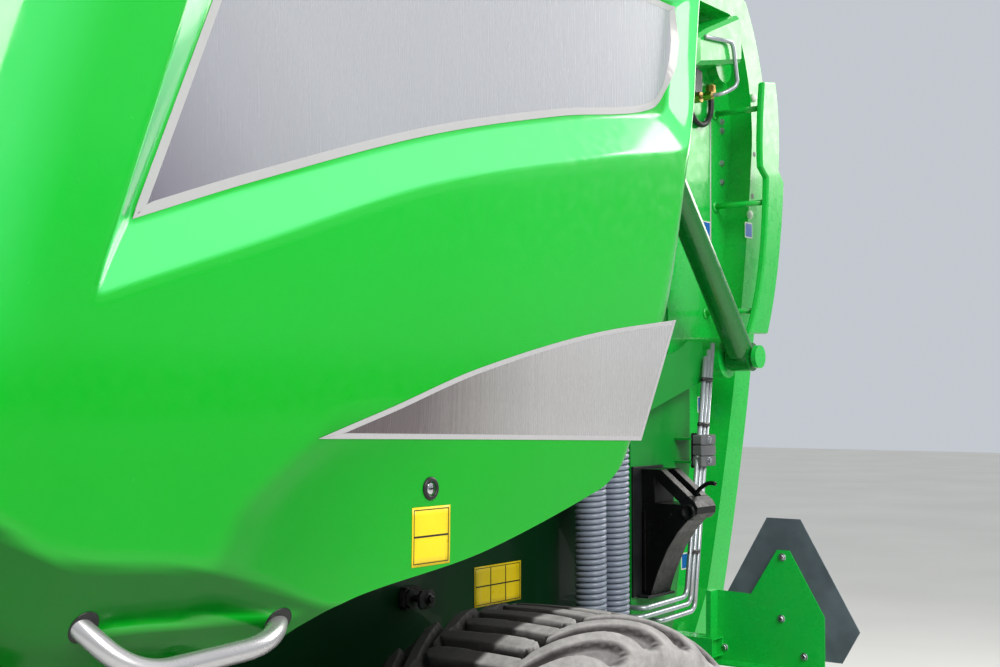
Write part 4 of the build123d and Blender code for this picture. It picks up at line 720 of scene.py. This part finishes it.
GRAB_LINE = [(1296, 1090, 1400), (1200, 1198, 1268), (948, 1198, 1278), (838, 1100, 1322)]
for hand, name in ((1, "left"), (-1, "right")):
    line = bent(GRAB_LINE, 62, 14)
    ends = []
    share = np.linspace(0, len(line) - 1, 800)
    dense = np.stack([np.interp(share, np.arange(len(line)), column) for column in line.T], 1)
    out = np.nonzero(dense[:, 1] > skin_out(dense[:, 0], dense[:, 2]))[0]
    # Black disc with a rim round each end of the rail: painted shade for the dark hole the rail enters.
    for x, _, z in (dense[out[0]], dense[out[-1]]):
        a = np.linspace(0, 2 * np.pi, 24, endpoint=False)
        size = np.array([0, 19, 22, 22])[:, None]
        flat = np.stack([x + size * np.cos(a), z + 4 + size * np.sin(a)], -1)
        ends.append(on_skin(flat, np.array([1.6, 1.6, 1.0, -3])[:, None]))
    rail = many(f"grab_rail_{name}", [tube_grid(line, 16, sides=24) * [1, hand, 1]], f"cover_{name}", "grab_paint",
                tube_paint)
    many(f"grab_hole_shade_{name}", [end * [1, hand, 1] for end in ends], f"cover_{name}", "black_plastic",
         black_plastic)
    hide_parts(f"grab_{name}")

# Pipes on the chassis wall's rear edge
PIPE_LINES = [
    [(-1205, 765, 1780), (-1085, 765, 1062), (-815, 765, 1055), (-815, 624, 1055)],
    [(-1183, 765, 1760), (-1063, 765, 1084), (-835, 765, 1077), (-835, 624, 1077)],
    [(-1227, 765, 1800), (-1107, 765, 1040), (-925, 765, 1033), (-925, 701, 1033)],
]
tubes, ties = [], []
for hand in (1, -1):
    for line in PIPE_LINES:
        path = bent(np.array(line) + [14, 0, 0], 26, 8)
        tubes.append(tube_grid(path, 7, up=(0.3, 0.8, 0.5), sides=14) * [1, hand, 1])
    for share in (0.12, 0.3, 0.62, 0.8):
        spot = np.array([-1191, 765, 1780]) * (1 - share) + np.array([-1071, 765, 1062]) * share
        steps = np.array([-5, -4.9, 4.9, 5])
        way = np.array([120, 0, -718]) / 728
        band = tube_grid(spot + way * steps[:, None], [9, 11, 11, 9], up=(0, 1, 0), sides=12)
        ties.append(((band - spot) * [2.9, 1, 1] + spot) * [1, hand, 1])
pipe_run = many("pipe_runs", tubes, "chassis", "zinc_pipe", pipe_zinc)
many("pipe_ties", ties, "chassis", "black_plastic", black_plastic)
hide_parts("pipes")


def prism(outline, low, high, axis="y", round_off=0.0):
    """Closed outline carried straight from low to high, its end edges drawn in by round_off."""
    outline = np.asarray(outline, float)
    centre = outline.mean(0)
    reach = np.linalg.norm(outline - centre, axis=1)[:, None]
    drawn = centre + (outline - centre) * (1 - round_off / reach)
    lie = {"y": lambda flat, at: np.stack([flat[:, 0], at, flat[:, 1]], 1),
           "x": lambda flat, at: np.stack([at, flat[:, 0], flat[:, 1]], 1),
           "z": lambda flat, at: np.stack([flat[:, 0], flat[:, 1], at], 1)}[axis]
    rows = [(np.repeat(centre[None], len(outline), 0), low), (drawn, low), (outline, low + round_off),
            (outline, high - round_off), (drawn, high), (np.repeat(centre[None], len(outline), 0), high)]
    return np.stack([lie(flat, np.full(len(outline), float(at))) for flat, at in rows])


def box_loop(x, z, wide, high, bevel=4.0):
    """Rectangle with cut corners about a centre."""
    a, b = wide / 2, high / 2
    return [(x - a + bevel, z - b), (x + a - bevel, z - b), (x + a, z - b + bevel), (x + a, z + b - bevel),
            (x + a - bevel, z + b), (x - a + bevel, z + b), (x - a, z + b - bevel), (x - a, z - b + bevel)]


blocks, bolts, clips = [], [], []
for hand in (1, -1):
    for low, high in ((-45, -16), (-15, 15), (16, 45)):
        blocks.append(prism(box_loop(-1153, 1490 + (low + high) / 2, 86, high - low), 752.5, 783, "y", 2.5)
                      * [1, hand, 1])
    for up in (-30, 30):
        bolts += hex_bolt((-1153, hand * 783, 1490 + up), 15, "y", hand)
    clips.append(prism(box_loop(-1153, 1490, 92, 100), 749, 752.4, "y", 0.5) * [1, hand, 1])
many("clamp_blocks", blocks, "chassis", "black_plastic", clip_grey, smooth=False)
many("clamp_bolts", bolts, "chassis", "bare_steel", zinc, smooth=False)
many("clamp_plates", clips, "chassis", "bare_steel", dark_steel, smooth=False)

# Tailgate: bolts, caps, painted shade for holes, seam, service pipe and hose, blank stickers
RIM_Y, WALL_Y = 700.0, 623.0
caps, small, hole_shades, seams, blue, white = [], [], [], [], [], []
for hand in (1, -1):
    for x, z in ((-1611, 2601), (-1576, 2221), (-1502, 1868)):
        caps += dome_cap((x, hand * RIM_Y, z), 13, "y", hand)
    for x, z in ((-1547, 2523), (-1546, 2494), (-1544, 2389), (-1543, 2328)):
        small += hex_bolt((x, hand * WALL_Y, z), 17, "y", hand)
    # Black discs on the wall and rim: painted shade for the dark inside of its holes.
    for x, z in ((-1620, 2421), (-1605, 2285), (-1475, 2000), (-1510, 1962), (-1489, 1889), (-1420, 1600)):
        at = RIM_Y if x < -1600 else WALL_Y
        rim = [(0, 0.6), (7, 0.6), (8.5, 0.2), (8.5, -0.5), (0, -0.5)]
        hole_shades.append(turned((x, hand * at, z), rim, "y", hand, 16))
    seam = np.array([(-1470, 2535), (-1468, 2300), (-1466, 1985)], float)
    path = np.stack([seam[:, 0], np.full(3, hand * WALL_Y), seam[:, 1]], 1)
    seams.append(tube_grid(path, 2.6, up=(0, 1, 0), sides=6))
    for x, z, at in ((-1575, 2172, RIM_Y), (-1502, 1842, RIM_Y), (-1440, 2168, WALL_Y), (-1400, 1620, WALL_Y),
                     (-1294, 1150, WALL_Y)):
        white.append(prism(box_loop(x, z, 50, 50, 2), at, at + 0.9, "y", 0.2) * [1, hand, 1])
        blue.append(prism(box_loop(x, z, 42, 42, 2), at + 0.7, at + 1.3, "y", 0.2) * [1, hand, 1])
many("rim_caps", caps, "tailgate", "net_white", cap_white)
many("wall_bolts", small, "tailgate", "zinc_pipe", zinc, smooth=False)
many("wall_hole_shades", hole_shades, "tailgate", "black_plastic", black_plastic, smooth=False)
many("wall_seams", seams, "tailgate", "green_paint", grey_paint)
many("sticker_rims", white, "tailgate", "net_white", cap_white, smooth=False)
many("sticker_faces", blue, "tailgate", "silver_panel", sticker_blue, smooth=False)

HOSE_MID, HOSE_BEND, HOSE_R = -1382, 72, 9
service, fitting, hose, plates = [], [], [], []
for hand in (1, -1):
    run = bent([(-1180, 766, 2700), (-1340, 772, 2716), (-1378, 768, 2590), (-1330, 740, 2560), (-1310, 640, 2556)],
               22, 8)
    service.append(tube_grid(run, 6.5, up=(0.2, 0.9, 0.3), sides=14) * [1, hand, 1])
    for at, size in (((-1318, 700, 2557), 13), ((-1313, 664, 2556), 17)):
        nut = [(0, -14), (size, -14), (size, 14), (0, 14)]
        fitting.append(turned(np.array(at) * [1, hand, 1], nut, "y", hand, 6))
    a = np.linspace(np.pi, 2 * np.pi, 25)
    under = np.stack([HOSE_MID - HOSE_BEND * np.cos(a), np.full(25, 636.0), 2560 + HOSE_BEND * np.sin(a)], 1)
    loop = np.concatenate([[(HOSE_MID + HOSE_BEND, 636, 2605)], under, [(HOSE_MID - HOSE_BEND, 636, 2600)]])
    hose.append(tube_grid(loop, HOSE_R, up=(0, 1, 0), sides=12) * [1, hand, 1])
    fitting.append(turned((-1454, hand * 636, 2606), [(0, -16), (14, -16), (14, 16), (0, 16)], "z", 1, 6))
    fitting.append(turned((-1454, hand * 623, 2614), [(0, -1), (12, -1), (12, 20), (0, 20)], "y", hand, 12))
    plates.append(prism(box_loop(-1335, 2610, 92, 90, 6), WALL_Y, WALL_Y + 22, "y", 2) * [1, hand, 1])
many("service_pipes", service, "tailgate", "zinc_pipe", pipe_zinc)
many("service_fittings", fitting, "tailgate", "zinc_pipe", brass, smooth=False)
many("service_hoses", hose, "tailgate", "black_plastic", black_plastic)
many("service_blocks", plates, "tailgate", "black_plastic", clip_grey, smooth=False)

# Chocks in their holders
def slabs(name, shapes, body, slot, finish, bevel=0.0):
    """Flat outlines, each carried straight from low to high on an axis, with plain ends; the modifier
    rounds their edges."""
    vertices, faces, count = [], [], 0
    for outline, low, high, axis, hand in shapes:
        flat, n = np.asarray(outline, float), len(outline)
        ends = []
        for at in (low, high):
            level = np.full(n, float(at))
            parts = {"x": (level, flat[:, 0], flat[:, 1]), "y": (flat[:, 0], level, flat[:, 1]),
                     "z": (flat[:, 0], flat[:, 1], level)}[axis]
            ends.append(np.stack(parts, 1) * [1, hand, 1])
        vertices += ends
        i = np.arange(n)
        j = (i + 1) % n
        own = (np.stack([i, j, j + n, i + n], 1) + count).tolist()
        own += [(i[::-1] + count).tolist(), (i + n + count).tolist()]
        area = (flat[:, 0] * np.roll(flat[:, 1], -1) - flat[:, 1] * np.roll(flat[:, 0], -1)).sum()
        if (area < 0) ^ (axis == "y") ^ (hand < 0):
            own = [face[::-1] for face in own]
        faces += own
        count += 2 * n
    piece = add_piece(name, place(np.concatenate(vertices)), faces, body, slot, finish, smooth=False, weld=False)
    if bevel:
        edge = piece.modifiers.new("edges", "BEVEL")
        edge.width = bevel
        edge.segments = 2
        edge.limit_method = "ANGLE"
        edge.angle_limit = math.radians(35)
    return piece


CHOCK_FRONT, CHOCK_REAR, RAIL_WIDE = -905.0, -1010.0, 34.0
wedge = [(708, 1094), (708, 1352), (830, 1352), (836, 1336), (852, 1310), (820, 1276), (788, 1228), (758, 1165),
         (742, 1120), (735, 1094)]
column = [(708, 1352), (708, 1445), (768, 1445), (748, 1422), (750, 1352)]
rail = [(768, 1445), (855, 1374), (828, 1356), (748, 1422)]
tip = [(855, 1374), (872, 1362), (882, 1345), (880, 1328), (868, 1314), (852, 1310), (836, 1336), (828, 1356)]
ribs = (([(715, 1110), (715, 1330), (722, 1330), (722, 1110)], 5),
        ([(722, 1240), (722, 1252), (800, 1330), (806, 1322)], 4))
knob = [(0, 4), (12, 4), (14, 10), (20, 10), (22, 5), (22, -4), (0, -4)]
chock_parts, hooks, holders, holder_bolts = [], [], [], []
for hand in (1, -1):
    chock_parts += [(shape, CHOCK_REAR, CHOCK_FRONT, "x", hand) for shape in (wedge, column, tip)]
    chock_parts += [(rail, low, low + RAIL_WIDE, "x", hand) for low in (CHOCK_REAR, CHOCK_FRONT - RAIL_WIDE)]
    chock_parts += [(rib, CHOCK_FRONT, CHOCK_FRONT + proud, "x", hand) for rib, proud in ribs]
    hooks.append(turned((CHOCK_FRONT + 2, hand * 856, 1334), knob, "x", 1, 24))
    hook = bent([(-960, 842, 1368), (-960, 856, 1392), (-960, 888, 1412), (-960, 908, 1408)], 14, 8)
    hooks.append(tube_grid(hook * [1, hand, 1], 6, up=(1, 0, 0), sides=10))
    holders.append(([(-1025, 1096), (-1025, 1452), (-862, 1452), (-862, 1096)], 700.3, 707.6, "y", hand))
    holders.append(([(-1025, 1094), (-1025, 1101), (-880, 1101), (-880, 1094)], 707, 742, "y", hand))
    for z in (1308, 1349):
        holder_bolts += hex_bolt((-860, hand * 686, z), 18, "x", 1)
chocks = slabs("chock_bodies", chock_parts, "chassis", "black_plastic", chock_black, 0.005)
many("chock_knobs", hooks, "chassis", "black_plastic", chock_black)
slabs("chock_holders", holders, "chassis", "black_plastic", black_plastic, 0.001)
many("chock_bolts", holder_bolts, "chassis", "bare_steel", zinc, smooth=False)
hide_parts("chocks")

# Guards outside the tailgate's rim: a folded plate on three posts
def through(first, middle, last, count=9):
    """Curve through three points: a quadratic whose middle lies on the second."""
    first, middle, last = (np.asarray(point, float) for point in (first, middle, last))
    t = np.linspace(0, 1, count)[:, None]
    pull = 2 * middle - (first + last) / 2
    return (1 - t) ** 2 * first + 2 * t * (1 - t) * pull + t ** 2 * last


GUARD_OUT, GUARD_FOLD = 814.5, 22.0
guard_line = np.concatenate([
    [(-1463, 2612)], through((-1545, 2625), (-1566, 2490), (-1562, 2350)),
    through((-1598, 2318), (-1553, 2050), (-1476, 1836)), through((-1356, 1832), (-1446, 2030), (-1485, 2318)),
    through((-1445, 2346), (-1446, 2470), (-1463, 2612))[:-1]])
guard_plates, guard_posts = [], []
for hand in (1, -1):
    guard_plates.append((guard_line, GUARD_OUT - GUARD_FOLD, GUARD_OUT, "y", hand))
    for x, z in ((-1432, 1905), (-1500, 2245), (-1500, 2540)):
        for radius, end, sides in ((9, 796, 14), (19, WALL_Y + 5, 18)):
            post = [(0, WALL_Y), (radius, WALL_Y), (radius, end), (0, end)]
            guard_posts.append(turned((x, 0, z), post, "y", hand, sides))
guards = slabs("guard_plates", guard_plates, "tailgate", "green_paint", tail_green_painted_light, 0.006)
many("guard_posts", guard_posts, "tailgate", "green_paint", tail_green_painted_light)
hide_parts("tailgate_guards")

# Sign: folded flange and bolts on its bracket, and the reflective face at the rear
flanges, sign_bolts = [], []
for hand in (1, -1):
    flanges.append(prism([(930, 953), (944, 953), (946, 1134), (932, 1137)], -896.5, -858, "x", 0.6) * [1, hand, 1])
    for y, z in ((1132, 1232), (1128, 1075), (1190, 985), (965, 985)):
        sign_bolts += hex_bolt((-897, hand * y, z), 15, "x", 1)
many("bracket_flanges", flanges, "chassis", "green_paint", tail_green_painted_light, smooth=False)
many("bracket_bolts", sign_bolts, "chassis", "zinc_pipe", zinc, smooth=False)


SIGN_REAR = -904.6


def sign_outline(inset):
    """Triangle with cut corners that the sign plate has, moved in by inset."""
    middle, top, wide, high, cut, rise = 1134.0, 1331.0, 406.0, 352.0, 47.0, 81.0
    corners = [(middle - cut, top), (middle - wide / 2, top - high + rise),
               (middle - wide / 2 + cut, top - high), (middle + wide / 2 - cut, top - high),
               (middle + wide / 2, top - high + rise), (middle + cut, top)]
    return ring_inside(flat_loop(corners, 4), inset + 0.01)[1]


for name, inset, depth, finish in (("sign_face", 44, 0.8, orange_face), ("sign_border", 4, 0.5, red_edge)):
    plate = prism(sign_outline(inset), SIGN_REAR - depth, SIGN_REAR + 0.6, "x", 0.1)
    many(name, [plate], "chassis", "plate_back", finish, smooth=False)

# Label on the chassis wall and the cover's catch beside it
for hand, name in ((1, "left"), (-1, "right")):
    label(f"wall_label_{name}", (-360, 1181), (190, 98), (3, 2), "chassis", hand, WALL_Y + 0.3)
catch = []
for hand in (1, -1):
    for at in (640, 676):
        catch.append(prism(box_loop(-20, 1186, 54, 42, 9), at - 1, at + 6, "y", 0.5) * [1, hand, 1])
    catch.append(turned((-20, hand * 640, 1186), [(0, 0), (9, 0), (9, 40), (0, 40)], "y", hand, 16))
    catch.append(prism(box_loop(-20, 1186, 66, 50, 10), 623.3, 640, "y", 0.5) * [1, hand, 1])
    catch += hex_bolt((-26, hand * 682, 1186), 20, "y", hand)
many("cover_catches", catch, "chassis", "bare_steel", dark_steel, smooth=False)


# Coil springs with their rods
SPRING_Y, SPRING_R, WIRE, SPRING_ENDS = 735.0, 42.0, 14.0, (965.0, 1790.0)
coils, rods = [], []
for hand in (1, -1):
    for x in (-608.0, -719.0):
        turns = (SPRING_ENDS[1] - SPRING_ENDS[0] - WIRE) / (WIRE + 0.6)
        a = np.linspace(0, 2 * np.pi * turns, int(turns * 18))
        z = SPRING_ENDS[0] + WIRE / 2 + a / (2 * np.pi) * (WIRE + 0.6)
        r = SPRING_R - WIRE / 2
        path = np.stack([x + r * np.cos(a), hand * SPRING_Y + r * np.sin(a), z], 1)
        coils.append(tube_grid(path, WIRE / 2, sides=8))
        rods.append(turned((x, hand * SPRING_Y, 0), [(0, 920), (12, 920), (12, 1835), (0, 1835)], "z", sides=12))
        for low in (SPRING_ENDS[0] + 4, SPRING_ENDS[1] - 28):
            rods.append(turned((x, hand * SPRING_Y, 0), [(0, low), (27, low), (27, low + 24), (0, low + 24)], "z"))
springs = many("spring_coils", coils, "chassis", "spring_steel", spring_grey)
many("spring_rods", rods, "chassis", "spring_steel", dark_steel)
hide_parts("belt_springs")


# Tyres
TYRE_Y, AXLE_Z, LUG_HEIGHT, BARS = 1025.0, 600.0, 26.0, 28
ROLL_R, STRAIGHT, CURVED, SWEEP, BAND = 575.0, 114.0, 120.0, 215.0, 238.0
TYRE_PROFILE = [(-176, 288), (-188, 296), (-206, 318), (-232, 360), (-246, 410), (-250, 452), (-244, 492),
                (-230, 524), (-208, 546), (-180, 560), (-136, 569), (0, 574)]


def tyre_grid(rows=1120):
    """Tyre over turn and across. The casing is a round-shouldered profile turned about the axle. Its
    tread is bars straight across, alternately long on one side; a bar's long end runs back over the
    shoulder as a quarter sine of the distance along the profile, and its short end is a blunt point.
    Height is a step of the largest of the bars' and the side band's signed distances, and the rows of the grid lean
    with the long ends. It also gives a share from 0 to 1 for each point that is partly dust and partly painted
    light: a painted sunlit outer side, painted shade on the bars' walls and on the lower sidewall."""
    half = np.array(TYRE_PROFILE, float)
    profile = np.concatenate([half, half[-2::-1] * [-1, 1]])
    length = np.concatenate([[0], np.cumsum(np.hypot(*np.diff(profile, axis=0).T))])
    middle = length[-1] / 2
    zones = [np.linspace(0, 92, 6)[1:], np.linspace(92, 140, 15)[1:], np.linspace(140, 262, 16)[1:],
             np.linspace(262, middle, 8)[1:]]
    out = np.concatenate(zones)
    at = middle + np.concatenate([-out[::-1], [0], out])
    across, radius = eased(length, profile, at).T
    slope = np.stack([np.gradient(across, at), np.gradient(radius, at)], 1)
    slope /= np.linalg.norm(slope, axis=1)[:, None]
    run, side = abs(at - middle)[None], np.sign(across)[None]
    pitch = 2 * np.pi * ROLL_R / BARS
    far = np.clip((run - STRAIGHT) / CURVED, 0, 1)
    sweep = -SWEEP * np.sin(far * np.pi / 2)
    lean = SWEEP * np.pi / (2 * CURVED) * np.cos(far * np.pi / 2) * (run > STRAIGHT)
    turn = np.linspace(0, 2 * np.pi, rows, endpoint=False)[:, None] + sweep / ROLL_R

    def nearest(line, shift):
        """Distance round the tyre to the nearest bar's middle line."""
        return (turn * ROLL_R - line - shift + pitch / 2) % pitch - pitch / 2

    shift = np.where(side > 0, 0, pitch / 2)
    wide = 19.5 - 8.5 * smooth_step(100, 128, run) + 9 * far ** 2
    long_bar = wide - abs(nearest(sweep, shift)) / np.sqrt(1 + lean ** 2)
    tip = 20.5 - 0.5 * np.clip(run - 90, 0, None) - 2.4 * np.clip(run - 108, 0, None)
    short_bar = tip - abs(nearest(0, shift + pitch / 2) + 0.3 * np.clip(run - 98, 0, None))
    bars = 1.5 * np.logaddexp(long_bar / 1.5, short_bar / 1.5)
    field = 8 * np.logaddexp(bars / 8, (run - BAND) / 8)
    height = smooth_step(-4, 1.5, field)
    proud = LUG_HEIGHT * height * (1 - smooth_step(246, 300, run))
    r, y = radius + proud * slope[:, 0], across - proud * slope[:, 1]
    grid = np.stack([r * np.sin(turn), y * np.ones_like(turn), AXLE_Z + r * np.cos(turn)], -1)
    # Lightness share: dust on the shoulder, plus painted light past across 30 and painted shade on the bars' walls
    # and the lower sidewall.
    top = smooth_step(0.6, 0.95, height)
    outer = smooth_step(27, 32, across)
    floor = smooth_step(96, 125, run) * outer
    wall = smooth_step(258, 330, run)
    flank_shade = 1 - 0.42 * smooth_step(290, 380, run)
    light = top * (0.08 + 0.86 * outer) * flank_shade + (1 - top) * (0.7 - 0.3 * wall) * floor
    return grid, np.clip(light - 1.6 * height * (1 - height), 0, 1)


# Tread colour from dark to light grey by that share: partly dust, partly painted sunlight and painted shade.
tread = Finish("tread_rubber", Roughness=0.8)
dust_and_light = tread.node("Attribute", outputs=2, settings={"attribute_name": "worn"})
dust = tread.math("MULTIPLY", dust_and_light, tread.span(tread.noise(22, 9, rough=0.7), 0.25, 0.8, 0.6, 1.2))
tread.join(Base_Color=tread.ramp(dust, (0.0, lin(24, 22, 22)), (0.3, lin(62, 59, 59)), (0.6, lin(132, 130, 131)),
                                 (1.0, lin(184, 182, 182))))
tread.join(Roughness=tread.span(tread.noise(60, 5), 0.3, 0.7, 0.68, 0.92))
tread.bump(tread.noise(150, 6), 0.3, 0.001)
tyre_skin, tyre_dust_and_light = tyre_grid()
for hand, name in ((1, "left"), (-1, "right")):
    grid = tyre_skin * np.array([1, hand, 1]) + np.array([0, hand * TYRE_Y, 0])
    rows, columns = grid.shape[:2]
    faces = np.asarray(grid_faces(rows, columns, wrap_rows=True))
    ends = faces.reshape(rows, columns - 1, 4)
    first, last = ends[:, 0, 0], ends[:, -1, 1]
    bead = np.stack([first, last, np.roll(last, -1), np.roll(first, -1)], 1)
    faces = np.concatenate([faces, bead])
    faces = faces[:, ::-1] if hand > 0 else faces
    tyre = add_piece(f"tyre_tread_{name}", place(grid.reshape(-1, 3)), faces.tolist(), f"wheel_{name}",
                     "tyre_rubber", tread.material, weld=False)
    attribute = tyre.data.attributes.new("worn", "FLOAT", "POINT")
    attribute.data.foreach_set("value", tyre_dust_and_light.ravel().astype(np.float32))
    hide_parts(f"tyre_{name}")


# Camera, floor and light
FOCAL_PIXELS, PHOTO_WIDTH = 1389, 1000
CAMERA_TURN, CAMERA_TILT, CAMERA_AT = 52.922, 2.634, (AXLE_X + 2.402, 2.717, 1.642)
camera_data = bpy.data.cameras.new("camera")
camera_data.sensor_width = 36
camera_data.lens = FOCAL_PIXELS / PHOTO_WIDTH * camera_data.sensor_width
camera_data.clip_end = 200
camera = bpy.data.objects.new("camera", camera_data)
bpy.context.scene.collection.objects.link(camera)
turn, tilt = math.radians(CAMERA_TURN), math.radians(CAMERA_TILT)
camera.location = CAMERA_AT
ahead = Vector((-math.sin(turn) * math.cos(tilt), -math.cos(turn) * math.cos(tilt), math.sin(tilt)))
camera.rotation_mode = "QUATERNION"
camera.rotation_quaternion = ahead.to_track_quat("-Z", "Y")
bpy.context.scene.camera = camera

floor_mesh = bpy.data.meshes.new("floor")
floor_mesh.from_pydata([(-40, -40, 0), (40, -40, 0), (40, 40, 0), (-40, 40, 0)], [], [(0, 1, 2, 3)])
floor = bpy.data.objects.new("floor", floor_mesh)
bpy.context.scene.collection.objects.link(floor)
pale = Finish("pale_floor", Roughness=0.8)
pale.join(Base_Color=pale.mix(pale.span(pale.noise(0.6), 0.3, 0.7, 0, 1), lin(222, 222, 218), lin(214, 214, 210)))
floor_mesh.materials.append(pale.material)

world = bpy.data.worlds.new("sky")
world.use_nodes = True
sky = world.node_tree
background = sky.nodes["Background"]
background.inputs["Strength"].default_value = 0.72
way = sky.nodes.new("ShaderNodeTexCoord")
height = sky.nodes.new("ShaderNodeSeparateXYZ")
sky.links.new(way.outputs["Generated"], height.inputs[0])
bands = sky.nodes.new("ShaderNodeValToRGB")
sky.links.new(height.outputs["Z"], bands.inputs[0])
SKY = (226, 232, 240)
for at, tone in ((0.0, (150, 156, 150)), (0.03, (128, 140, 128)), (0.14, (170, 180, 172)),
                 (0.2, (232, 238, 244)), (1.0, SKY)):
    stop = bands.color_ramp.elements.new(at) if 0 < at < 1 else bands.color_ramp.elements[int(at)]
    stop.color = lin(*tone)
ray = sky.nodes.new("ShaderNodeLightPath")
shown = sky.nodes.new("ShaderNodeMix")
shown.data_type = "RGBA"
sky.links.new(ray.outputs["Is Camera Ray"], shown.inputs[0])
sky.links.new(bands.outputs[0], shown.inputs[6])
shown.inputs[7].default_value = lin(*SKY)
sky.links.new(shown.outputs[2], background.inputs[0])
bpy.context.scene.world = world
bpy.context.scene.view_settings.view_transform = "Standard"


def soft_light(name, place_m, towards, size, power, colour=(255, 255, 255)):
    """Large soft lamp at a place, facing a point."""
    data = bpy.data.lights.new(name, "AREA")
    data.shape = "RECTANGLE"
    data.size, data.size_y = size
    data.energy = power
    data.color = lin(*colour)[:3]
    lamp = bpy.data.objects.new(name, data)
    lamp.location = place_m
    lamp.rotation_mode = "QUATERNION"
    lamp.rotation_quaternion = (Vector(towards) - Vector(place_m)).to_track_quat("-Z", "Y")
    bpy.context.scene.collection.objects.link(lamp)


soft_light("key", (1.5, 6.5, 6.0), (-0.3, 0.6, 1.6), (3.5, 3.5), 430, (255, 250, 242))
soft_light("rear", (-6.5, 2.0, 4.5), (-1.2, 0.6, 1.6), (3, 3), 170, (255, 250, 244))
soft_light("fill", (5.5, -4.5, 4.5), (0.3, 0, 1.2), (4, 4), 260, (240, 246, 255))
